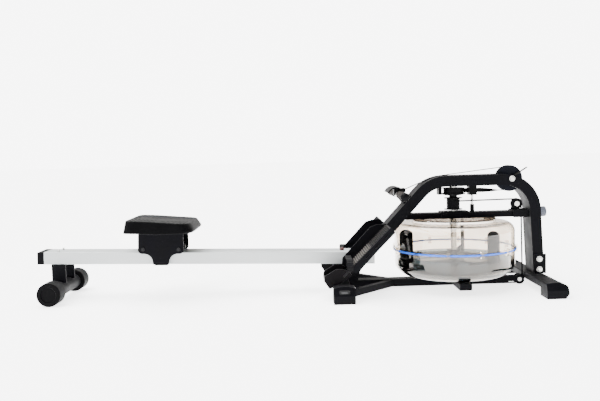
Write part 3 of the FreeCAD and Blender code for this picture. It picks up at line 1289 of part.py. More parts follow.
def make_seat():
    centre = D.carriage_station
    half = D.carriage_half
    inner = D.carriage_inner
    wall = D.carriage_wall
    axle_height = D.wheel_radius + D.wheel_gap
    low = axle_height - D.lobe_radius
    neck = D.neck_half
    lobe = D.lobe_radius - 1
    edge = [(centre - half, D.carriage_deck_high, 0), (centre - half - 2, low, lobe),
            (centre - neck - 4, low, D.neck_bend), (centre - neck, -D.neck_drop, 2),
            (centre + neck, -D.neck_drop, 2), (centre + neck + 4, low, D.neck_bend),
            (centre + half + 2, low, lobe), (centre + half, D.carriage_deck_high, 0)]
    plates = []
    for name, side in SIDES:
        plate = slab_at("seat_plate_" + name, wall, side * (inner + wall / 2), edge)
        holes = [cross_rod("seat_axle_hole", D.seat_axle_radius + D.running_clearance, 2 * inner,
                           centre + end * D.wheel_station, axle_height) for end in (-1, 1)]
        plates.append(cut("seat_plate_cut_" + name, plate, *holes))
    deck = box("seat_deck", (2 * half - 6, 2 * inner, D.carriage_deck_high - D.carriage_deck_low),
               (centre - half + 3, -inner, D.carriage_deck_low))
    keep(framed("seat_carriage", RAIL_FRAME, deck, *plates), "seat_carriage")
    reach = inner + wall
    axles = []
    for end in (-1, 1):
        x = centre + end * D.wheel_station
        pin = cross_rod("seat_axle_pin", D.seat_axle_radius, reach + 1, x, axle_height)
        heads = [rod("seat_axle_head", D.seat_axle_radius * 1.8, 3,
                     (x, side * (reach + 1.5) - 1.5, axle_height), "Y") for _, side in SIDES]
        axles.append(fuse("seat_axle", pin, *heads))
    keep(framed("seat_axles", RAIL_FRAME, *axles), "seat_axles")
    bore = D.seat_axle_radius + D.running_clearance
    for label, end in (("rear", -1), ("front", 1)):
        wheels = []
        for _, side in SIDES:
            x = centre + end * D.wheel_station
            wheel = turned("seat_wheel", [(bore, 0, 0), (D.wheel_radius, 0, 1.5),
                                          (D.wheel_radius, D.wheel_width, 1.5),
                                          (bore, D.wheel_width, 0)])
            low_y = side * D.wheel_offset - D.wheel_width / 2
            wheels.append(place(wheel, (x, low_y, axle_height), (1, 0, 0), -90))
        node = "seat_wheels_" + label
        keep(framed(node, RAIL_FRAME, *wheels), node)
    make_glides()
    middle = D.seat_corner
    seat_edge = [(D.seat_rear, D.seat_low, 4), (D.seat_front - 16, D.seat_low, 6),
                 (D.seat_front, D.seat_low + 27, 6), (D.seat_front - 40, D.seat_front_top, 14),
                 (D.seat_rear + 64, D.seat_front_top + 4, 40), (D.seat_rear + 17, D.seat_rear_top, 8)]
    side_view = slab_at("seat_side_view", D.seat_width, 0, seat_edge)
    half = D.seat_width / 2
    plan = slab("seat_plan_view", "XY_Plane", 400,
                rectangle(D.seat_rear - 2, -half, D.seat_front + 2, half, middle))
    pad = common("seat_pad_blank", side_view, plan)
    keep(framed("seat_pad", RAIL_FRAME, pad), "seat_pad")


def make_glides():
    """Polymer guides inside the side plates: beside the rail, with a lip below it."""
    side_gap = D.rail_width / 2 + D.glide_gap
    thick = D.carriage_inner - side_gap
    floor = -D.rail_height - D.glide_gap
    glides = []
    for name, side in SIDES:
        block = box("glide_block_" + name, (2 * D.glide_half, thick, 8 + D.glide_lip),
                    (D.carriage_station - D.glide_half,
                     side * (side_gap + thick / 2) - thick / 2, floor - D.glide_lip))
        lip = box("glide_lip_" + name, (2 * D.glide_half, thick + 10, D.glide_lip),
                  (D.carriage_station - D.glide_half,
                   side * (side_gap + thick / 2 - 5) - thick / 2 - 5, floor - D.glide_lip))
        glides.append(fuse("glide_" + name, block, lip))
    keep(framed("seat_glides", RAIL_FRAME, *glides), "seat_glides")


def check_and_write():
    DOC.recompute()
    faults = []
    for item in DOC.Objects:
        if "Invalid" in item.State or "Error" in item.State:
            faults.append(item.Name)
    for item in NODES:
        shape = item.Shape
        if shape.isNull() or not shape.isValid() or not shape.Solids:
            faults.append(item.Label)
    if faults:
        raise RuntimeError("failed objects: " + ", ".join(sorted(set(faults))))
    os.makedirs("parts", exist_ok=True)
    whole = FreeCAD.BoundBox()
    for item in NODES:
        item.Shape.exportStep(os.path.join("parts", item.Label + ".step"))
        whole.add(item.Shape.BoundBox)
        print("%-22s solids %2d  volume %10.0f" % (item.Label, len(item.Shape.Solids),
                                                   item.Shape.Volume))
    print(len(NODES), "sub-parts; whole box", whole)


make_rail()
make_rear_foot()
make_middle_foot()
make_front_foot()
make_base()
make_rail_joint()
make_arch()
make_post_fittings()
make_deck()
make_tank()
make_impeller()
make_reel()
make_drive_fittings()
make_belt_pulley()
make_bungee_pulleys()
make_bungee_cord()
make_belt()
make_hoop()
make_handle()
make_footrest()
make_seat()
check_and_write()
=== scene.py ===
"""Looks of a rowing machine with a water tank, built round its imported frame. Lengths are in metres."""
import math

import bpy
import numpy as np
from mathutils import Matrix, Vector


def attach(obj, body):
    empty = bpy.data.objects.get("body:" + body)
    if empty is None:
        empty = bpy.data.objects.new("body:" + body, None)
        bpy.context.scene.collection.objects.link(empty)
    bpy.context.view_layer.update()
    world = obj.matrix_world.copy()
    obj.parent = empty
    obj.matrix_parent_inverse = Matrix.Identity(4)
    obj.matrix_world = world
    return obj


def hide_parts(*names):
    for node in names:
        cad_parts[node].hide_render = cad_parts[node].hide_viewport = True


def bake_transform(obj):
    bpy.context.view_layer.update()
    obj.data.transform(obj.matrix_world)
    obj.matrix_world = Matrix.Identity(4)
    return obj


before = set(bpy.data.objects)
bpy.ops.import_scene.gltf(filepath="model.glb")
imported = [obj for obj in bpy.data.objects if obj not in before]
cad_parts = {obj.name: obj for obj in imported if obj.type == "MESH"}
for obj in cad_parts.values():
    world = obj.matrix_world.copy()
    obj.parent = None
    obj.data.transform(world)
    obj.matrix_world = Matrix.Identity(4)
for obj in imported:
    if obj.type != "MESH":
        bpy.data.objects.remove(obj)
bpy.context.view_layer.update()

bl_info = {
    "name": "Water rowing machine",
    "version": (1, 0, 0),
    "blender": (4, 5, 0),
    "location": "3D View > Sidebar > Rower",
    "description": "Surfaces and finishes of a rowing machine with a water tank",
    "category": "Object",
}

MM = 0.001
# Dark moulded and coated surfaces: hardly any mirror, and a thin dust that shows at a glancing angle.
DUSTY = {"Specular IOR Level": 0.04, "Sheen Weight": 0.05, "Sheen Roughness": 0.35}
# Cellular and woven surfaces: matt all over.
MATT = {"Specular IOR Level": 0.1}
SIDES = (("left", 1), ("right", -1))
# The rail's own frame: its rear top edge, and its fall towards the footplates.
RAIL_REAR = (-1006.5, 192.2)
RAIL_SLOPE = math.radians(1.594)
# The footplates' own frame: the heel end of each floor, and its slant.
FOOT_REAR = (236, 101)
FOOT_SLANT = math.radians(45)
# Each footplate's middle, out from the machine's own middle.
FOOT_MIDDLE = 162.5
# The foot of the tank's axis.
TANK_FOOT = (649.5, 0, 0)
# The handle's bar lies across the machine at this x and z.
HANDLE_X, HANDLE_Z = 428, 377


def linear(code, alpha=1.0):
    """Hex sRGB to linear: c / 12.92 up to 0.04045, and ((c + 0.055) / 1.055) to the power 2.4 above."""
    parts = np.array([int(code[i:i + 2], 16) for i in (1, 3, 5)]) / 255
    parts = np.where(parts <= 0.04045, parts / 12.92, ((parts + 0.055) / 1.055) ** 2.4)
    return (*parts.tolist(), alpha)


def add(tree, kind, settings=None, links=None):
    """Adds one node, with its properties, socket values and colour stops from settings, and its links."""
    item = tree.nodes.new(kind)
    for name, value in (settings or {}).items():
        if name == "stops":
            for element, (position, colour) in zip(item.color_ramp.elements, value):
                element.position = position
                element.color = colour
        elif isinstance(name, int) or name in item.inputs:
            item.inputs[name].default_value = value
        else:
            setattr(item, name, value)
    for name, source in (links or {}).items():
        tree.links.new(source, item.inputs[name])
    return item


def finish(name, light, dark, roughness, spread=0.06, patch=60, grain=1.5, depth=0.1,
           stretch=(1, 1, 1), pattern="noise", shader=None):
    """A finish: colour and roughness drift over patches, with a fine relief on top. Sizes are in mm.

    Drift is smooth noise of the patch size. Relief is noise, cells or a plain weave of the grain size."""
    material = bpy.data.materials.new(name)
    material.use_nodes = True
    tree = material.node_tree
    tree.nodes.clear()
    kind = "UV" if pattern == "weave" else "Object"
    place = add(tree, "ShaderNodeTexCoord").outputs[kind]
    turned = add(tree, "ShaderNodeMapping", {"Scale": stretch}, {"Vector": place}).outputs["Vector"]
    drift = add(tree, "ShaderNodeTexNoise", {"Scale": 1000 / patch, "Detail": 4.0},
                {"Vector": turned}).outputs["Fac"]
    colour = add(tree, "ShaderNodeValToRGB", {"stops": ((0.3, linear(dark)), (0.7, linear(light)))},
                 {"Fac": drift}).outputs["Color"]
    rough = add(tree, "ShaderNodeMapRange", {"From Min": 0.3, "From Max": 0.7,
                                             "To Min": roughness - spread, "To Max": roughness + spread},
                {"Value": drift}).outputs["Result"]
    if pattern == "cells":
        height = add(tree, "ShaderNodeTexVoronoi", {"Scale": 1000 / grain}, {"Vector": turned})
        height = height.outputs["Distance"]
    elif pattern == "weave":
        ribs = [add(tree, "ShaderNodeTexWave", {"Scale": 1000 / grain / 20, "bands_direction": way,
                                                "Distortion": 0.4}, {"Vector": turned}).outputs["Fac"]
                for way in ("X", "Y")]
        height = add(tree, "ShaderNodeMath", {"operation": "MAXIMUM"},
                     {0: ribs[0], 1: ribs[1]}).outputs["Value"]
    else:
        height = add(tree, "ShaderNodeTexNoise", {"Scale": 1000 / grain, "Detail": 2.0},
                     {"Vector": turned}).outputs["Fac"]
    relief = add(tree, "ShaderNodeBump", {"Strength": 0.6, "Distance": depth * MM},
                 {"Height": height}).outputs["Normal"]
    skin = add(tree, "ShaderNodeBsdfPrincipled", shader,
               {"Base Color": colour, "Roughness": rough, "Normal": relief})
    add(tree, "ShaderNodeOutputMaterial", links={"Surface": skin.outputs["BSDF"]})
    return material


def wear(material, *nodes):
    """Gives one finish to CAD nodes, whose own shapes stay as they are."""
    for name in nodes:
        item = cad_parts[name]
        if not item.material_slots:
            item.data.materials.append(material)
        for place in item.material_slots:
            place.material = material


def rounded(corners, steps=5):
    """A profile with each corner (a, b, radius) replaced by an arc that is tangent to both its edges.

    Tangent points lie radius * tan(turn / 2) from the corner, and the arc runs evenly between them."""
    out = []
    for index, (a, b, radius) in enumerate(corners):
        here = np.array([a, b], float)
        if radius <= 0 or index in (0, len(corners) - 1):
            out.append(here[None])
            continue
        back = np.array(corners[index - 1][:2], float) - here
        ahead = np.array(corners[index + 1][:2], float) - here
        back, ahead = back / np.linalg.norm(back), ahead / np.linalg.norm(ahead)
        half = math.acos(max(-1, min(1, float(back @ ahead)))) / 2
        centre = here + (back + ahead) / np.linalg.norm(back + ahead) * radius / math.sin(half)
        start = here + back * radius / math.tan(half) - centre
        end = here + ahead * radius / math.tan(half) - centre
        share = np.linspace(0, 1, steps)[:, None]
        way = start * (1 - share) + end * share
        out.append(centre + way / np.linalg.norm(way, axis=1)[:, None] * radius)
    return np.vstack(out)


def run_lengths(points):
    """How far each point lies from the first, measured along the points."""
    return np.concatenate([[0], np.cumsum(np.linalg.norm(np.diff(points, axis=0), axis=1))])


def ring_quads(count, around, closed=False):
    """Quads between neighbouring rings, and from the last ring back to the first where closed."""
    i, j = np.meshgrid(np.arange(count if closed else count - 1), np.arange(around), indexing="ij")
    beside = (j + 1) % around
    ahead = (i + 1) % count * around
    return np.stack([i * around + j, i * around + beside, ahead + beside, ahead + j], -1).reshape(-1, 4)


def inside_out(points, triangles):
    """True where the closed volume, a sum of a . (b x c) / 6, is negative."""
    p = points[triangles]
    return np.einsum("ij,ij->i", p[:, 0], np.cross(p[:, 1], p[:, 2])).sum() < 0


def halves(quads):
    """Both triangles of each quad."""
    return np.vstack([quads[:, [0, 1, 2]], quads[:, [0, 2, 3]]])


def cloth_uv(rings, fan_count):
    """UV in metres: u runs along the rings' middles and v round the middle ring.

    On the end fans u is 0, and v runs once round over both ends."""
    count, around, _ = rings.shape
    along = run_lengths(rings.mean(1))
    widest = rings[count // 2]
    across = run_lengths(np.vstack([widest, widest[:1]]))
    i, j = np.meshgrid(np.arange(count - 1), np.arange(around), indexing="ij")
    sides = np.stack([np.stack([along[i + di], across[j + dj]], -1) for di, dj in
                      ((0, 0), (0, 1), (1, 1), (1, 0))], -2).reshape(-1, 4, 2)
    ends = np.zeros((fan_count, 3, 2))
    ends[:, :, 1] = across[np.arange(fan_count) // 2][:, None]
    return sides, ends


def settle(name, mesh, sharp, body, nodes):
    """Shades a mesh smooth up to an angle in degrees, attaches it to its body, and hides the CAD nodes it
    replaces.
    """
    mesh.polygons.foreach_set("use_smooth", np.ones(len(mesh.polygons), bool))
    mesh.set_sharp_from_angle(angle=math.radians(sharp))
    mesh.update()
    piece = bpy.data.objects.new(name, mesh)
    bpy.context.scene.collection.objects.link(piece)
    if body:
        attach(piece, body)
    if nodes:
        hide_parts(*nodes)
    return piece


def skin(name, rings, material, body, slot, nodes=(), sharp=35, second=None, wear_and_painted_light=None):
    """A closed mesh from an array of rings: rings[i, j] is point j of ring i, in metres.

    Rings close on themselves, neighbours join by quads, and each end is a fan to its mean point.
    Face (i, j) has the second material where the last argument's mask is true: painted light on the seat's
    top, and wear with a painted highlight on the treads' tips. Faces point outwards."""
    count, around, _ = rings.shape
    points = np.vstack([rings.reshape(-1, 3), rings[0].mean(0)[None], rings[-1].mean(0)[None]])
    quads = ring_quads(count, around)
    k = np.arange(around)
    beside = (k + 1) % around
    last = (count - 1) * around
    first_hub = np.full(around, count * around)
    fans = np.vstack([np.stack([beside, k, first_hub], -1),
                      np.stack([last + k, last + beside, first_hub + 1], -1)])
    uv, ends = cloth_uv(rings, len(fans))
    if inside_out(points, np.vstack([halves(quads), fans])):
        quads, fans, uv, ends = quads[:, ::-1], fans[:, ::-1], uv[:, ::-1], ends[:, ::-1]
    mesh = bpy.data.meshes.new(name)
    mesh.from_pydata(points.tolist(), [], quads.tolist() + fans.tolist())
    layer = mesh.uv_layers.new(name="cloth")
    layer.data.foreach_set("uv", np.concatenate([uv.reshape(-1), ends.reshape(-1)]))
    mesh.materials.append(material)
    if second:
        mesh.materials.append(second)
        faces = np.concatenate([wear_and_painted_light[:-1].reshape(-1), np.zeros(len(fans))]).astype(np.int32)
        mesh.polygons.foreach_set("material_index", faces)
    return settle(name, mesh, sharp, body, nodes)


def lathe(profile, base, axis, around=48):
    """Rings of a turned piece: base + axis * along + radius * (e1 cos t + e2 sin t), t round the ring."""
    axis = np.array(axis, float) / np.linalg.norm(axis)
    e1 = np.cross(axis, (0, 0, 1) if abs(axis[2]) < 0.9 else (0, 1, 0))
    e1 /= np.linalg.norm(e1)
    e2 = np.cross(axis, e1)
    t = np.linspace(0, 2 * math.pi, around, endpoint=False)
    spoke = np.cos(t)[:, None] * e1 + np.sin(t)[:, None] * e2
    profile = np.array(profile, float)
    radius = np.maximum(profile[:, 1], 0.05)
    return (np.array(base, float) + axis * profile[:, 0, None, None]
            + radius[:, None, None] * spoke) * MM


def turned_shell(name, profile, material, node, around=160):
    """A closed wall of the tank, turned about its axis: its profile is a loop of (height, radius).

    Point (i, j) is foot + (r_i cos t_j, r_i sin t_j, z_i), and both ways close on themselves."""
    t = np.linspace(0, 2 * math.pi, around, endpoint=False)
    z, r = profile[:-1, :1], profile[:-1, 1:]
    grid = np.stack(np.broadcast_arrays(TANK_FOOT[0] + r * np.cos(t), TANK_FOOT[1] + r * np.sin(t),
                                        TANK_FOOT[2] + z), -1) * MM
    points = grid.reshape(-1, 3)
    quads = ring_quads(len(grid), around, closed=True)
    if inside_out(points, halves(quads)):
        quads = quads[:, ::-1]
    mesh = bpy.data.meshes.new(name)
    mesh.from_pydata(points.tolist(), [], quads.tolist())
    mesh.materials.append(material)
    return settle(name, mesh, 40, "frame", (node,))


def ribbon(path, across, width, thick, around=36):
    """Rings of a flat strap carried along a path, its width along across and its normal square to both.

    Its section is a superellipse, |w|^6 + |t|^2 = 1, so that the edges are soft and the faces flat."""
    path = np.array(path, float)
    across = np.array(across, float)
    tangent = np.gradient(path, axis=0)
    tangent /= np.linalg.norm(tangent, axis=1)[:, None]
    normal = np.cross(across, tangent)
    t = np.linspace(0, 2 * math.pi, around, endpoint=False)
    w = np.sign(np.cos(t)) * np.abs(np.cos(t)) ** (1 / 3) * width / 2
    h = np.sin(t) * thick / 2
    return (path[:, None] + w[None, :, None] * across + h[None, :, None] * normal[:, None]) * MM


def plate(name, centre, half, material, slot):
    """A soft-cornered plate square to Y: rings |x/a|^5 + |z/c|^5 = 1, drawn in at both faces."""
    t = np.linspace(0, 2 * math.pi, 48, endpoint=False)
    x, z = (np.sign(f) * np.abs(f) ** 0.4 for f in (np.cos(t), np.sin(t)))
    share = np.array([0.5, 0.92, 1.0, 1.0, 0.92, 0.5])[:, None]
    depth = np.array([-1, -1, -0.6, 0.6, 1, 1])[:, None]
    rings = np.stack(np.broadcast_arrays(centre[0] + half[0] * share * x, centre[1] + half[1] * depth,
                                         centre[2] + half[2] * share * z), -1) * MM
    return skin(name, rings, material, "frame", slot, (), 40)


def on_rail(station, y, up):
    """Rail coordinates to the whole machine's: along and square to the rail's slope."""
    x = RAIL_REAR[0] + station * math.cos(RAIL_SLOPE) + up * math.sin(RAIL_SLOPE)
    z = RAIL_REAR[1] - station * math.sin(RAIL_SLOPE) + up * math.cos(RAIL_SLOPE)
    return np.stack(np.broadcast_arrays(x, y, z), -1) * MM


def on_foot(along, y, up):
    """Footplate coordinates to the whole machine's: along and square to the slanted floor."""
    x = FOOT_REAR[0] + along * math.cos(FOOT_SLANT) - up * math.sin(FOOT_SLANT)
    z = FOOT_REAR[1] + along * math.sin(FOOT_SLANT) + up * math.cos(FOOT_SLANT)
    return np.stack(np.broadcast_arrays(x, y, z), -1) * MM


def smooth(value, low, high):
    """0 below low, 1 above high, and 3t^2 - 2t^3 between."""
    t = np.clip((value - low) / (high - low), 0, 1)
    return t * t * (3 - 2 * t)


def pits(x, y, pitch_x, pitch_y, size_x, size_y):
    """1 at the middle of each oval of a staggered grid, falling as 1 - r^2 to 0 at its edge."""
    row = np.round(y / pitch_y)
    shift = x + (row % 2) * pitch_x / 2
    dx = (shift - np.round(shift / pitch_x) * pitch_x) / size_x
    dy = (y - row * pitch_y) / size_y
    return np.clip(1 - dx * dx - dy * dy, 0, 1)


class RowerSizes(bpy.types.PropertyGroup):
    """Sizes of the soft and embossed surfaces"""
    seat_dish: bpy.props.FloatProperty(
        name="Seat dish", description="Depth of the seat's hollow below its rim",
        default=0.0045, unit="LENGTH")
    dimple_depth: bpy.props.FloatProperty(
        name="Dimple depth", description="Depth of the seat's embossed ovals",
        default=0.0042, unit="LENGTH")
    rib_height: bpy.props.FloatProperty(
        name="Tread rib height", description="Height of the footplate treads' ribs",
        default=0.0032, unit="LENGTH")
    belt_width: bpy.props.FloatProperty(
        name="Belt width", description="Width of the pull belt's webbing",
        default=0.018, unit="LENGTH")


class RowerStage(bpy.types.PropertyGroup):
    """Camera, surroundings and lights"""
    lens: bpy.props.FloatProperty(
        name="Lens", description="Focal length on a 36 mm wide sensor", default=41.58, unit="CAMERA")
    camera_tilt: bpy.props.FloatProperty(
        name="Tilt", description="Camera's angle below level", default=math.radians(4.19),
        subtype="ANGLE")
    camera_roll: bpy.props.FloatProperty(
        name="Roll", description="Camera's turn about its own line of sight", default=math.radians(1.73),
        subtype="ANGLE")
    camera_place: bpy.props.FloatVectorProperty(
        name="Camera place", description="Where the camera stands", default=(0.037, -2.7648, 0.5654),
        subtype="TRANSLATION", unit="LENGTH")
    backdrop_light: bpy.props.FloatProperty(
        name="Backdrop", description="Strength of the pale surroundings as they are seen",
        default=7.6, min=0)
    room_dim: bpy.props.FloatProperty(
        name="Front room light", description="Light from the room's darker front", default=0.2, min=0)
    room_bright: bpy.props.FloatProperty(
        name="Back room light", description="Light from the lit wall behind", default=1.6, min=0)
    key_light: bpy.props.FloatProperty(
        name="Key light", description="Strength of the soft light from the front left",
        default=2.2, min=0)
    top_light: bpy.props.FloatProperty(
        name="Top light", description="Strength of the soft light from overhead", default=11.0, min=0)
    floor_glow: bpy.props.FloatProperty(
        name="Floor glow", description="Light that the lit studio floor gives off", default=3.0, min=0)


class RowerColours(bpy.types.PropertyGroup):
    """Hex colours of the main finishes"""
    frame_coat: bpy.props.StringProperty(
        name="Frame coat", description="Hex colour of the frame's powder coat", default="#06060a")
    seat_foam: bpy.props.StringProperty(
        name="Seat foam", description="Hex colour of the seat's skin", default="#040405")
    gasket: bpy.props.StringProperty(
        name="Gasket", description="Hex colour of the tank's seal", default="#0a62e0")


def stand_camera(scene, setup):
    """Stands the camera where setup says, level across but for its roll, and looking slightly down."""
    tilt, roll = setup.camera_tilt, setup.camera_roll
    right = Vector((1, 0, 0))
    ahead = Vector((0, math.cos(tilt), -math.sin(tilt)))
    up = Vector((0, math.sin(tilt), math.cos(tilt)))
    turned_right = right * math.cos(roll) - up * math.sin(roll)
    turned_up = up * math.cos(roll) + right * math.sin(roll)
    data = bpy.data.cameras.new("camera")
    data.sensor_width = 36
    data.lens = setup.lens
    camera = bpy.data.objects.new("camera", data)
    turn = Matrix((turned_right, turned_up, -ahead)).transposed()
    camera.matrix_world = Matrix.Translation(setup.camera_place) @ turn.to_4x4()
    scene.collection.objects.link(camera)
    scene.camera = camera


def light_room(scene, setup):
    """A lit wall behind and a dim room in front, so that black faces keep their depth, and two lamps.

    Seen directly, the surroundings are one even white."""
    world = bpy.data.worlds.new("studio_room")
    world.use_nodes = True
    tree = world.node_tree
    tree.nodes.clear()
    way = add(tree, "ShaderNodeTexCoord").outputs["Generated"]
    depth = add(tree, "ShaderNodeSeparateXYZ", links={"Vector": way}).outputs["Y"]
    level = add(tree, "ShaderNodeMapRange",
                {"From Min": -0.6, "From Max": 0.9, "To Min": setup.room_dim,
                 "To Max": setup.room_bright}, {"Value": depth}).outputs["Result"]
    room = add(tree, "ShaderNodeBackground", {"Color": linear("#fffcf8")}, {"Strength": level})
    wall = add(tree, "ShaderNodeBackground",
               {"Color": linear("#ffffff"), "Strength": setup.backdrop_light})
    seen = add(tree, "ShaderNodeLightPath").outputs["Is Camera Ray"]
    both = add(tree, "ShaderNodeMixShader", links={0: seen, 1: room.outputs["Background"],
                                                   2: wall.outputs["Background"]})
    add(tree, "ShaderNodeOutputWorld", links={"Surface": both.outputs["Shader"]})
    scene.world = world
    for name, place, spread, strength in (
            ("key_light", (-0.62, -0.62, 0.62), 35, setup.key_light),
            ("top_light", (-0.35, 0.15, 1.0), 70, setup.top_light)):
        lamp = bpy.data.lights.new(name, "SUN")
        lamp.angle = math.radians(spread)
        lamp.energy = strength
        light = bpy.data.objects.new(name, lamp)
        light.matrix_world = (-Vector(place)).to_track_quat("-Z", "Y").to_matrix().to_4x4()
        scene.collection.objects.link(light)


def lay_floor(scene, setup):
    """A matt painted studio floor, even and almost white, which gives off some light of its own."""
    paint = finish("painted_studio_floor", "#fafafa", "#f8f8f8", 0.8, patch=900, grain=8, depth=0.02,
                   shader={"Emission Color": linear("#ffffff"), "Emission Strength": setup.floor_glow})
    reach = 30.0
    mesh = bpy.data.meshes.new("floor")
    mesh.from_pydata([(-reach, -reach, 0), (reach, -reach, 0), (reach, reach, 0), (-reach, reach, 0)],
                     [], [(0, 1, 2, 3)])
    mesh.materials.append(paint)
    floor = bpy.data.objects.new("floor", mesh)
    scene.collection.objects.link(floor)


class ROWER_OT_stage(bpy.types.Operator):
    """Camera, pale floor, white surroundings and soft studio lights"""
    bl_idname = "rower.stage"
    bl_label = "Stage and camera"

    def execute(self, context):
        setup = context.scene.rower_stage
        stand_camera(context.scene, setup)
        light_room(context.scene, setup)
        lay_floor(context.scene, setup)
        return {"FINISHED"}


class ROWER_OT_frame(bpy.types.Operator):
    """Powder-coated steel frame, its rubber and moulded ends, and the extruded rail"""
    bl_idname = "rower.frame"
    bl_label = "Frame and rail"

    def execute(self, context):
        # Satin powder coat on steel tube: nearly black with a blue cast, with a slight orange peel.
        coat = finish("powder_coated_steel", context.scene.rower_colours.frame_coat, "#040406", 0.5, 0.07,
                      patch=45, grain=3, depth=0.12, shader=DUSTY)
        wear(coat, "rear_foot_tube", "rear_bracket", "middle_foot_tube", "front_foot_tube", "base_beam",
             "base_braces", "tank_arms", "joint_plates", "rail_supports", "arch_beam", "post_plates",
             "drive_deck", "deck_brackets", "bungee_mounts", "handle_rest", "footplates",
             "seat_carriage")
        # Clear-anodised extrusion: die lines run along it, drawn about 2 mm apart so that they show.
        anodised = finish("anodised_extruded_aluminium", "#b9bcbc", "#b0b4b5", 0.5, 0.05, patch=40,
                          grain=2, depth=0.03, stretch=(0.02, 1, 1), shader={"Metallic": 0.35})
        wear(anodised, "rail")
        # Moulded polypropylene ends: nearly black and finely sparked, so they hold no clear highlight.
        moulded = finish("moulded_polypropylene", "#07070a", "#050507", 0.5, 0.06, patch=70, grain=1.6,
                         depth=0.09, shader=DUSTY)
        wear(moulded, "middle_foot_caps", "front_foot_caps", "rail_end_cap")
        # Each middle foot end has a recess: an unlit black floor, and a slightly paler bar across it.
        recess = finish("recess_shadow_black", "#030304", "#020203", 0.8, patch=10, grain=1.2, depth=0.02)
        bar = finish("moulded_dark_bar", "#141418", "#101013", 0.5, patch=10, grain=1.2, depth=0.04)
        recess_x, floor_y, bar_y = 189, 280.6, 282.4
        for name, side in SIDES:
            plate("recess_floor_" + name, (recess_x, side * floor_y, 43), (19.6, 0.5, 7.7), recess,
                  "moulded_black_plastic")
            plate("recess_bar_" + name, (recess_x, side * bar_y, 42), (12, 1.2, 3.4), bar,
                  "moulded_black_plastic")
        # Moulded natural rubber: black and duller than the plastics.
        tyre = finish("moulded_black_rubber", "#050506", "#040405", 0.6, 0.06, patch=50, grain=1.8,
                      depth=0.12, shader=DUSTY)
        wear(tyre, "rear_foot_caps")
        # Standing pads: grey thermoplastic rubber, scuffed from the floor.
        pads = finish("moulded_grey_rubber", "#454954", "#373a44", 0.7, 0.06, patch=14, grain=1.5,
                      depth=0.12)
        wear(pads, "standing_pads")
        # Moulded bumper: red-brown rubber, the frame's one warm spot.
        bumper = finish("moulded_red_brown_rubber", "#4a1c18", "#3a1512", 0.6, patch=12, grain=1.2)
        wear(bumper, "rail_bumper")
        return {"FINISHED"}


class ROWER_OT_tank(bpy.types.Operator):
    """Clear moulded tank, blue gasket, water and paddle impeller"""
    bl_idname = "rower.tank"
    bl_label = "Tank and impeller"

    def execute(self, context):
        # Moulded polycarbonate: clear with a warm tint, its wall gently uneven.
        clear = finish("moulded_clear_polycarbonate", "#e6ded4", "#ddd4c9", 0.05, 0.03, patch=90, grain=40,
                       depth=0.2, shader={"Transmission Weight": 1.0, "IOR": 1.45})
        wear(clear, "tank_lid", "tank_clips", "tank_lower_shell")
        # Upper shell: a straight wall that turns into the crown on one large bend, a seam flange below.
        # Its points are heights and radii.
        seam, wall, mouth, bend, thick = 158.6, 236, 122, 36, 3.6
        outer = rounded([(seam, 240, 0), (163.6, 240, 0), (163.8, wall, 0), (259.5, wall, bend),
                         (263, mouth, 0)], 16)
        inner = rounded([(259.2, mouth, 0), (255.7, wall - thick, bend - thick),
                         (seam, wall - thick, 0)], 16)
        upper = np.vstack([outer, inner, outer[:1]])
        turned_shell("upper_tank_shell", upper, clear, "tank_upper_shell")
        # Extruded silicone: an even blue with a soft sheen.
        seal = finish("extruded_blue_silicone", context.scene.rower_colours.gasket, "#0854c8", 0.4,
                      patch=30, grain=1.5, depth=0.05)
        # The seal's lip bulges out of the seam and rolls over both flanges.
        bead = np.array([(155.2, 236), (155.2, 240.2), (153.2, 240.5), (153.6, 241.7), (156.8, 242.3),
                         (160, 241.7), (160.4, 240.5), (158.4, 240.2), (158.4, 236), (155.2, 236)])
        turned_shell("gasket_bead", bead, seal, "tank_gasket")
        # Still water: clear, with a grey-blue cast from its depth.
        water = finish("still_water", "#7c8a93", "#707e87", 0.02, 0.01, patch=200, grain=60, depth=0.2,
                       shader={"Transmission Weight": 1.0, "IOR": 1.33})
        wear(water, "tank_water")
        # Moulded nylon paddles: nearly black and matt.
        paddle = finish("moulded_paddle_nylon", "#0b0c0e", "#08090b", 0.5, patch=40, grain=1.6, depth=0.07,
                        shader=DUSTY)
        wear(paddle, "impeller_blades")
        return {"FINISHED"}


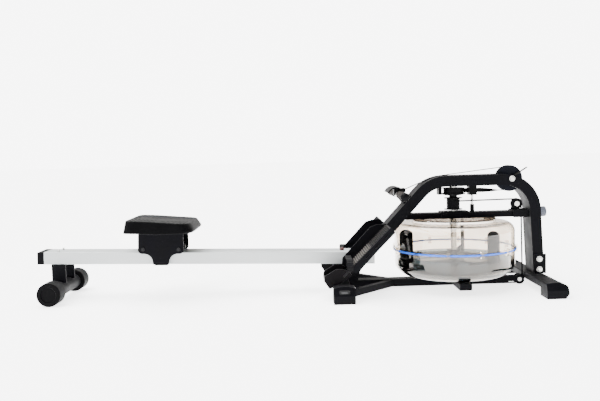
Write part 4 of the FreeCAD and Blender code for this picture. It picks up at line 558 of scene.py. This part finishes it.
class ROWER_OT_drive(bpy.types.Operator):
    """Reel, spool, pulleys, guide, shafts, wire hoop and elastic cord"""
    bl_idname = "rower.drive"
    bl_label = "Drive"

    def execute(self, context):
        # Moulded nylon: black, a little smoother than the foot ends.
        moulded = finish("moulded_black_nylon", "#060608", "#040405", 0.45, 0.05, patch=30, grain=1.4,
                         depth=0.06, shader=DUSTY)
        wear(moulded, "belt_reel", "bungee_spool", "bungee_pulley_lower", "bungee_pulley_upper",
             "belt_guide", "seat_glides")
        # The belt's pulley: the same nylon with a blue cast.
        disc = finish("moulded_slate_nylon", "#0c0e16", "#090b11", 0.4, 0.05, patch=40, grain=1.6,
                      depth=0.05, shader=DUSTY)
        wear(disc, "belt_pulley")
        # Zinc-plated steel: bright, with softly clouded reflections.
        bright = finish("zinc_plated_steel", "#d3d2ce", "#bdbcb8", 0.3, 0.08, patch=8, grain=1.2,
                        depth=0.02, shader={"Metallic": 1.0})
        wear(bright, "belt_pulley_axle", "frame_bolts", "bungee_axles", "impeller_shaft", "guide_rod",
             "shaft_bearings", "handle_bar")
        # Black-oxide axle heads: dark, with a dull metal sheen.
        oxide = finish("black_oxide_steel", "#0c0c0e", "#08080a", 0.4, patch=8, grain=1.2, depth=0.02,
                       shader={"Metallic": 0.7})
        wear(oxide, "seat_axles")
        # Blackened spring steel: dark wire with a narrow highlight along it.
        wire = finish("blackened_spring_steel", "#12110f", "#0d0c0b", 0.45, patch=8, grain=1.0,
                      depth=0.02, shader={"Metallic": 0.9})
        wear(wire, "console_hoop")
        # Cast urethane tyres: black and smooth from rolling.
        tread = finish("cast_black_urethane", "#08080a", "#060607", 0.4, patch=12, grain=1.2,
                       shader=DUSTY)
        wear(tread, "seat_wheels_rear", "seat_wheels_front")
        # Braided sleeve over rubber strands: the braid is drawn about 1.5 mm across.
        braid = finish("braided_polyester_sleeve", "#09090b", "#050506", 0.8, patch=3, grain=1.5,
                       depth=0.3, pattern="cells", shader=MATT)
        wear(braid, "bungee_cord")
        # The belt wound on its reel: black woven nylon, its threads drawn 1.5 mm apart.
        web = finish("woven_nylon_belt", "#09090b", "#050506", 0.75, patch=4, grain=1.5, depth=0.2,
                     pattern="cells", shader=MATT)
        wear(web, "drive_belt")
        return {"FINISHED"}


class ROWER_OT_seat_pad(bpy.types.Operator):
    """Moulded foam seat with a dished top and rows of embossed ovals"""
    bl_idname = "rower.seat_pad"
    bl_label = "Seat pad"

    def execute(self, context):
        sizes = context.scene.rower_sizes
        # Rings run from the middle of the underside, out and up the side, and in over the top.
        # Each is a superellipse |x/a|^n + |y/b|^n = 1 scaled by the profile's share, with n near 11 at
        # the square rear end and near 6 at the blunt front end. Heights are above the rail's top edge.
        a, b, middle = 136.0, 149.0, 493.5
        bottom, crown = 86.0, 126.5
        t = np.linspace(0, 2 * math.pi, 420, endpoint=False)
        power = 2 / (8.5 - 2.5 * np.clip(1.6 * np.cos(t), -1, 1))
        ring_x = np.sign(np.cos(t)) * np.abs(np.cos(t)) ** power
        ring_y = np.sign(np.sin(t)) * np.abs(np.sin(t)) ** power
        edge = rounded([(0, bottom, 0), (a, bottom, 3), (a - 9, crown, 5), (0, crown, 0)], 6)[1:-1]
        side = np.stack([np.linspace(edge[5, axis], edge[6, axis], 10) for axis in (0, 1)], -1)
        under = np.stack([np.linspace(2, edge[0, 0] - 3, 6), np.full(6, bottom)], -1)
        top = np.stack([np.linspace(edge[-1, 0] - 1.3, 1, 112), np.full(112, crown)], -1)
        profile = np.vstack([under, edge[:6], side[1:-1], edge[6:], top])
        share, level = profile[:, :1] / a, profile[:, 1:]
        x = share * ring_x * a
        y = share * ring_y * b
        # The whole top slopes down towards the front.
        rise = (5.5 - 11 * smooth(x, -110, 135)) * smooth(level, 92, 124)
        # The rim's underside hangs lower than the middle, most of all half way along.
        rim = (1 - smooth(level, 84, 112)) * smooth(share, 0.7, 0.95)
        hang = rim * (3 + 3 * smooth(90 - np.abs(x), 0, 90))
        # The hollow to sit in, and the ovals on both halves of the top, clear of its middle and edges.
        dish = sizes.seat_dish / MM * np.exp(-((x + 10) / 75) ** 2) * smooth(140 - np.abs(y), 0, 60)
        rows = (smooth(np.abs(y), 34, 46) * smooth(138 - np.abs(y), 0, 6)
                * smooth(112 - np.abs(x), 0, 8))
        oval = pits(x, y, 16, 17, 5.2, 6.0) * rows * sizes.dimple_depth / MM
        top_face = smooth(level, crown - 0.5, crown - 0.05)
        z = level + rise - hang - (dish + oval) * top_face
        # The front end comes to a blunt nose a quarter of the way up, and draws in above and below it.
        nose = smooth(x, 60, 132)
        below, above = 1 - smooth(level, 82, 96), np.clip((level - 96) / 30, 0, 1)
        rings = on_rail(middle + x + nose * (4 - 14 * below - 10 * above), y, z)
        # Integral-skin polyurethane foam: black, with a pebbled skin drawn 3 mm across.
        foam = finish("integral_skin_foam", context.scene.rower_colours.seat_foam, "#020203", 0.5, 0.05,
                      patch=60, grain=3, depth=0.25, pattern="cells", shader=DUSTY)
        # Its top is a lighter dull grey, except down in the ovals: painted light, as if lit from above.
        painted_top_light = finish("foam_skin_painted_top_light", "#1a1a1b", "#131314", 0.6, 0.05, patch=40, grain=3,
                        depth=0.25, pattern="cells", shader=MATT)
        # Top faces outside the ovals take the lighter skin, which paints the light on the top.
        flat = (top_face > 0.5) & (oval < 0.2 * sizes.dimple_depth / MM)
        pad = skin("seat_cushion", rings, foam, "seat", "seat_foam", ("seat_pad",), 70, painted_top_light, flat)
        return {"FINISHED"}


class ROWER_OT_handle(bpy.types.Operator):
    """Foam grips, ball-ended plugs and the moulded cover of the handle"""
    bl_idname = "rower.handle"
    bl_label = "Handle"

    def execute(self, context):
        # Closed-cell foam: warm black and quite matt, its cells drawn 2 mm across.
        foam = finish("closed_cell_foam", "#231f1d", "#1b1816", 0.85, 0.05, patch=18, grain=2,
                      depth=0.3, pattern="cells", shader=MATT)
        # Moulded plastic: black, with an even fine grain.
        cap = finish("moulded_black_plastic", "#060608", "#040405", 0.45, 0.04, patch=20, grain=1.5,
                     depth=0.04, shader=DUSTY)
        bar_radius, grip_radius, grip_length = 12.2, 15.2, 130
        grip_y, plug_y = 62, 192
        for name, side in SIDES:
            # A foam sleeve: a gentle barrel, r = 15.2 + 0.8 sin(pi s), with rolled ends.
            s = np.linspace(0, 1, 40)
            profile = np.stack([2 + (grip_length - 4) * s, grip_radius + 0.8 * np.sin(math.pi * s)], -1)
            ends = rounded([(0, bar_radius, 0), (0, grip_radius, 2), (2, grip_radius, 0)], 6)[:-1]
            tail = np.stack([grip_length - ends[::-1, 0], ends[::-1, 1]], -1)
            rings = lathe(np.vstack([ends, profile, tail]), (HANDLE_X, side * grip_y, HANDLE_Z),
                          (0, side, 0))
            skin("foam_grip_" + name, rings, foam, "handle", "grip_foam", ("handle_grips",), 50)
            # A plug with a collar and a ball end: an ellipse of 14 by 17 mm beyond the collar.
            turn = np.linspace(0, math.pi / 2, 16)
            ball = np.stack([0.2 + 13.6 * np.sin(turn), 17 * np.cos(turn)], -1)
            profile = np.vstack([[(0, bar_radius), (0, 15.8)], ball])
            rings = lathe(profile, (HANDLE_X, side * plug_y, HANDLE_Z), (0, side, 0))
            skin("end_plug_" + name, rings, cap, "handle", "moulded_black_plastic",
                 ("handle_end_plugs",), 50)
        wear(cap, "handle_yoke")
        return {"FINISHED"}


class ROWER_OT_belt(bpy.types.Operator):
    """Pull belt from the handle over the arch to its pulley"""
    bl_idname = "rower.belt"
    bl_label = "Pull belt"

    def execute(self, context):
        width, thick = context.scene.rower_sizes.belt_width / MM, 2.8
        # The belt lies on an arc over the arch's bend, with straight runs to the handle's clip and to
        # the pulley's wrap, both tangent to their arcs.
        bend, hub, clip = (np.array(place) for place in ((614.4, 288.5), (871, 428), (458, 396)))
        over, wrap = 158.4, 46.9
        gap, reach = hub - bend, clip - bend
        fall = math.asin((over - wrap) / np.linalg.norm(gap))
        leave = math.pi / 2 + math.atan2(gap[1], gap[0]) - fall
        meet = math.atan2(reach[1], reach[0]) - math.acos(over / np.linalg.norm(reach))
        turn = np.linspace(meet, leave, 12)[:, None]
        lay = bend + over * np.hstack([np.cos(turn), np.sin(turn)])
        land = hub + wrap * np.array([math.cos(leave), math.sin(leave)])
        first = clip + (lay[0] - clip) * np.linspace(0, 1, 20)[:-1, None]
        final = lay[-1] + (land - lay[-1]) * np.linspace(0, 1, 50)[1:, None]
        flat = np.vstack([first, lay, final])
        path = np.stack([flat[:, 0], np.zeros(len(flat)), flat[:, 1]], -1)
        # Woven nylon webbing: ribs across the belt, drawn 1.5 mm apart.
        web = finish("woven_nylon_webbing", "#0e0e11", "#08080a", 0.85, patch=6, grain=1.5, depth=0.25,
                     pattern="weave", shader=MATT)
        piece = skin("pull_belt", ribbon(path, (0, 1, 0), width, thick), web, None, "webbing",
                     ("belt_strand",), 50)
        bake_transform(piece)
        return {"FINISHED"}


class ROWER_OT_foot_straps(bpy.types.Operator):
    """Webbing straps over the feet, with their buckles"""
    bl_idname = "rower.foot_straps"
    bl_label = "Foot straps"

    def execute(self, context):
        # Woven polyester webbing: black and matt, its threads drawn 1.6 mm apart.
        web = finish("woven_polyester_webbing", "#09090b", "#050506", 0.85, patch=6, grain=1.6,
                     depth=0.3, pattern="weave", shader={"Specular IOR Level": 0.15})
        # Moulded acetal: black and slightly smoother than the webbing.
        buckle = finish("moulded_black_acetal", "#0e0e10", "#0a0a0c", 0.4, patch=10, grain=1.2,
                        depth=0.03, shader=DUSTY)
        strap_x, width, thick, count = 215.0, 24, 2.6, 110
        flange, guard = 231.8, 100.8
        for name, side in SIDES:
            # Up the outer flange, sagging over the empty tread, and down to the inner guard.
            flat = rounded([(flange, 112, 0), (flange, 155, 24), (166, 149, 90), (guard, 152, 8),
                            (guard, 142, 0)], 14)
            reach = run_lengths(flat)
            even = np.linspace(0, reach[-1], count)
            y, z = np.interp(even, reach, flat[:, 0]), np.interp(even, reach, flat[:, 1])
            path = np.stack([np.full(count, strap_x), side * y, z], -1)
            skin("foot_strap_" + name, ribbon(path, (1, 0, 0), width, thick), web, "frame", "webbing",
                 ("foot_straps",), 50)
            # Slider buckle: a rounded plate on the strap's outer run.
            plate("strap_buckle_" + name, (strap_x, side * 234.2, 138), (13, 2.2, 8), buckle, "webbing")
        return {"FINISHED"}


class ROWER_OT_treads(bpy.types.Operator):
    """Footplate treads: ribs at the heel half, round dimples at the toe half"""
    bl_idname = "rower.treads"
    bl_label = "Footplate treads"

    def execute(self, context):
        height = context.scene.rower_sizes.rib_height / MM
        # Moulded rubber: black and dull.
        rubber = finish("ribbed_black_rubber", "#060608", "#040405", 0.55, patch=30, grain=1.6,
                        depth=0.1, shader=DUSTY)
        # The tips of the relief are pale: scuffing from shoes, and a painted highlight for the glints on
        # the crests.
        wear_and_painted_light = finish("scuffed_rubber_tips_painted_highlight", "#45413d", "#37342f", 0.7, patch=20, grain=1.6, depth=0.1)
        # Each ring is a slice across the tread: its top row carries the relief, its underside is flat.
        # The relief fades out over 3 mm at every edge, and turns from ribs to dots near half way.
        half_width, half_length, centre = 62.5, 101, 106
        face, back, highest = 24.7, 24.1, 28.0
        rib_pitch, turnover = 9, 112
        along = np.linspace(centre - half_length, centre + half_length, 260)[:, None]
        across = np.linspace(-half_width, half_width, 90)[None, :]
        edge = (smooth(half_width - np.abs(across), 0, 3)
                * smooth(half_length - np.abs(along - centre), 0, 3))
        wave = np.sign(np.sin(along * 2 * math.pi / rib_pitch))
        ribs = (0.5 + 0.5 * wave) * smooth(60 - np.abs(across), 0, 2)
        dots = pits(along, across, 14, 12, 4.5, 4.5)
        lower = smooth(turnover - along, 0, 4)
        top = face + edge * height * (lower * ribs + (1 - lower) * dots)
        # The highest parts of the relief take the pale tip finish: scuffing and a painted highlight.
        tips = np.hstack([top > face + 0.75 * height, np.zeros(top.shape, bool)])
        for name, side in SIDES:
            middle = side * FOOT_MIDDLE
            upper = on_foot(along, middle + across, np.minimum(top, highest))
            under = on_foot(along, middle + across[:, ::-1], np.full(top.shape, back))
            skin("tread_" + name, np.concatenate([upper, under], 1), rubber, "frame",
                 "moulded_black_plastic", ("foot_treads",), 30, wear_and_painted_light, tips)
        # Moulded heel cups: black with a slight aubergine cast.
        cup = finish("moulded_aubergine_plastic", "#0a080a", "#070607", 0.45, patch=50, grain=1.6,
                     depth=0.08, shader=DUSTY)
        wear(cup, "heel_cup_left", "heel_cup_right")
        return {"FINISHED"}


class ROWER_PT_panel(bpy.types.Panel):
    """Every size, light and colour, and a button for each operator"""
    bl_label = "Rowing machine"
    bl_idname = "ROWER_PT_panel"
    bl_space_type = "VIEW_3D"
    bl_region_type = "UI"
    bl_category = "Rower"

    def draw(self, context):
        for group in (context.scene.rower_sizes, context.scene.rower_stage, context.scene.rower_colours):
            for name in group.bl_rna.properties.keys():
                if name not in ("rna_type", "name"):
                    self.layout.prop(group, name)
        for item in OPERATORS:
            self.layout.operator(item.bl_idname)


OPERATORS = (ROWER_OT_stage, ROWER_OT_frame, ROWER_OT_tank, ROWER_OT_drive, ROWER_OT_seat_pad,
             ROWER_OT_handle, ROWER_OT_belt, ROWER_OT_foot_straps, ROWER_OT_treads)
GROUPS = (RowerSizes, RowerStage, RowerColours)


def register():
    for item in GROUPS + OPERATORS + (ROWER_PT_panel,):
        bpy.utils.register_class(item)
    bpy.types.Scene.rower_sizes = bpy.props.PointerProperty(type=RowerSizes)
    bpy.types.Scene.rower_stage = bpy.props.PointerProperty(type=RowerStage)
    bpy.types.Scene.rower_colours = bpy.props.PointerProperty(type=RowerColours)


def unregister():
    del bpy.types.Scene.rower_colours
    del bpy.types.Scene.rower_stage
    del bpy.types.Scene.rower_sizes
    for item in reversed(GROUPS + OPERATORS + (ROWER_PT_panel,)):
        bpy.utils.unregister_class(item)


def main():
    register()
    for item in OPERATORS:
        group, name = item.bl_idname.split(".")
        getattr(getattr(bpy.ops, group), name)()


if __name__ == "__main__":
    main()
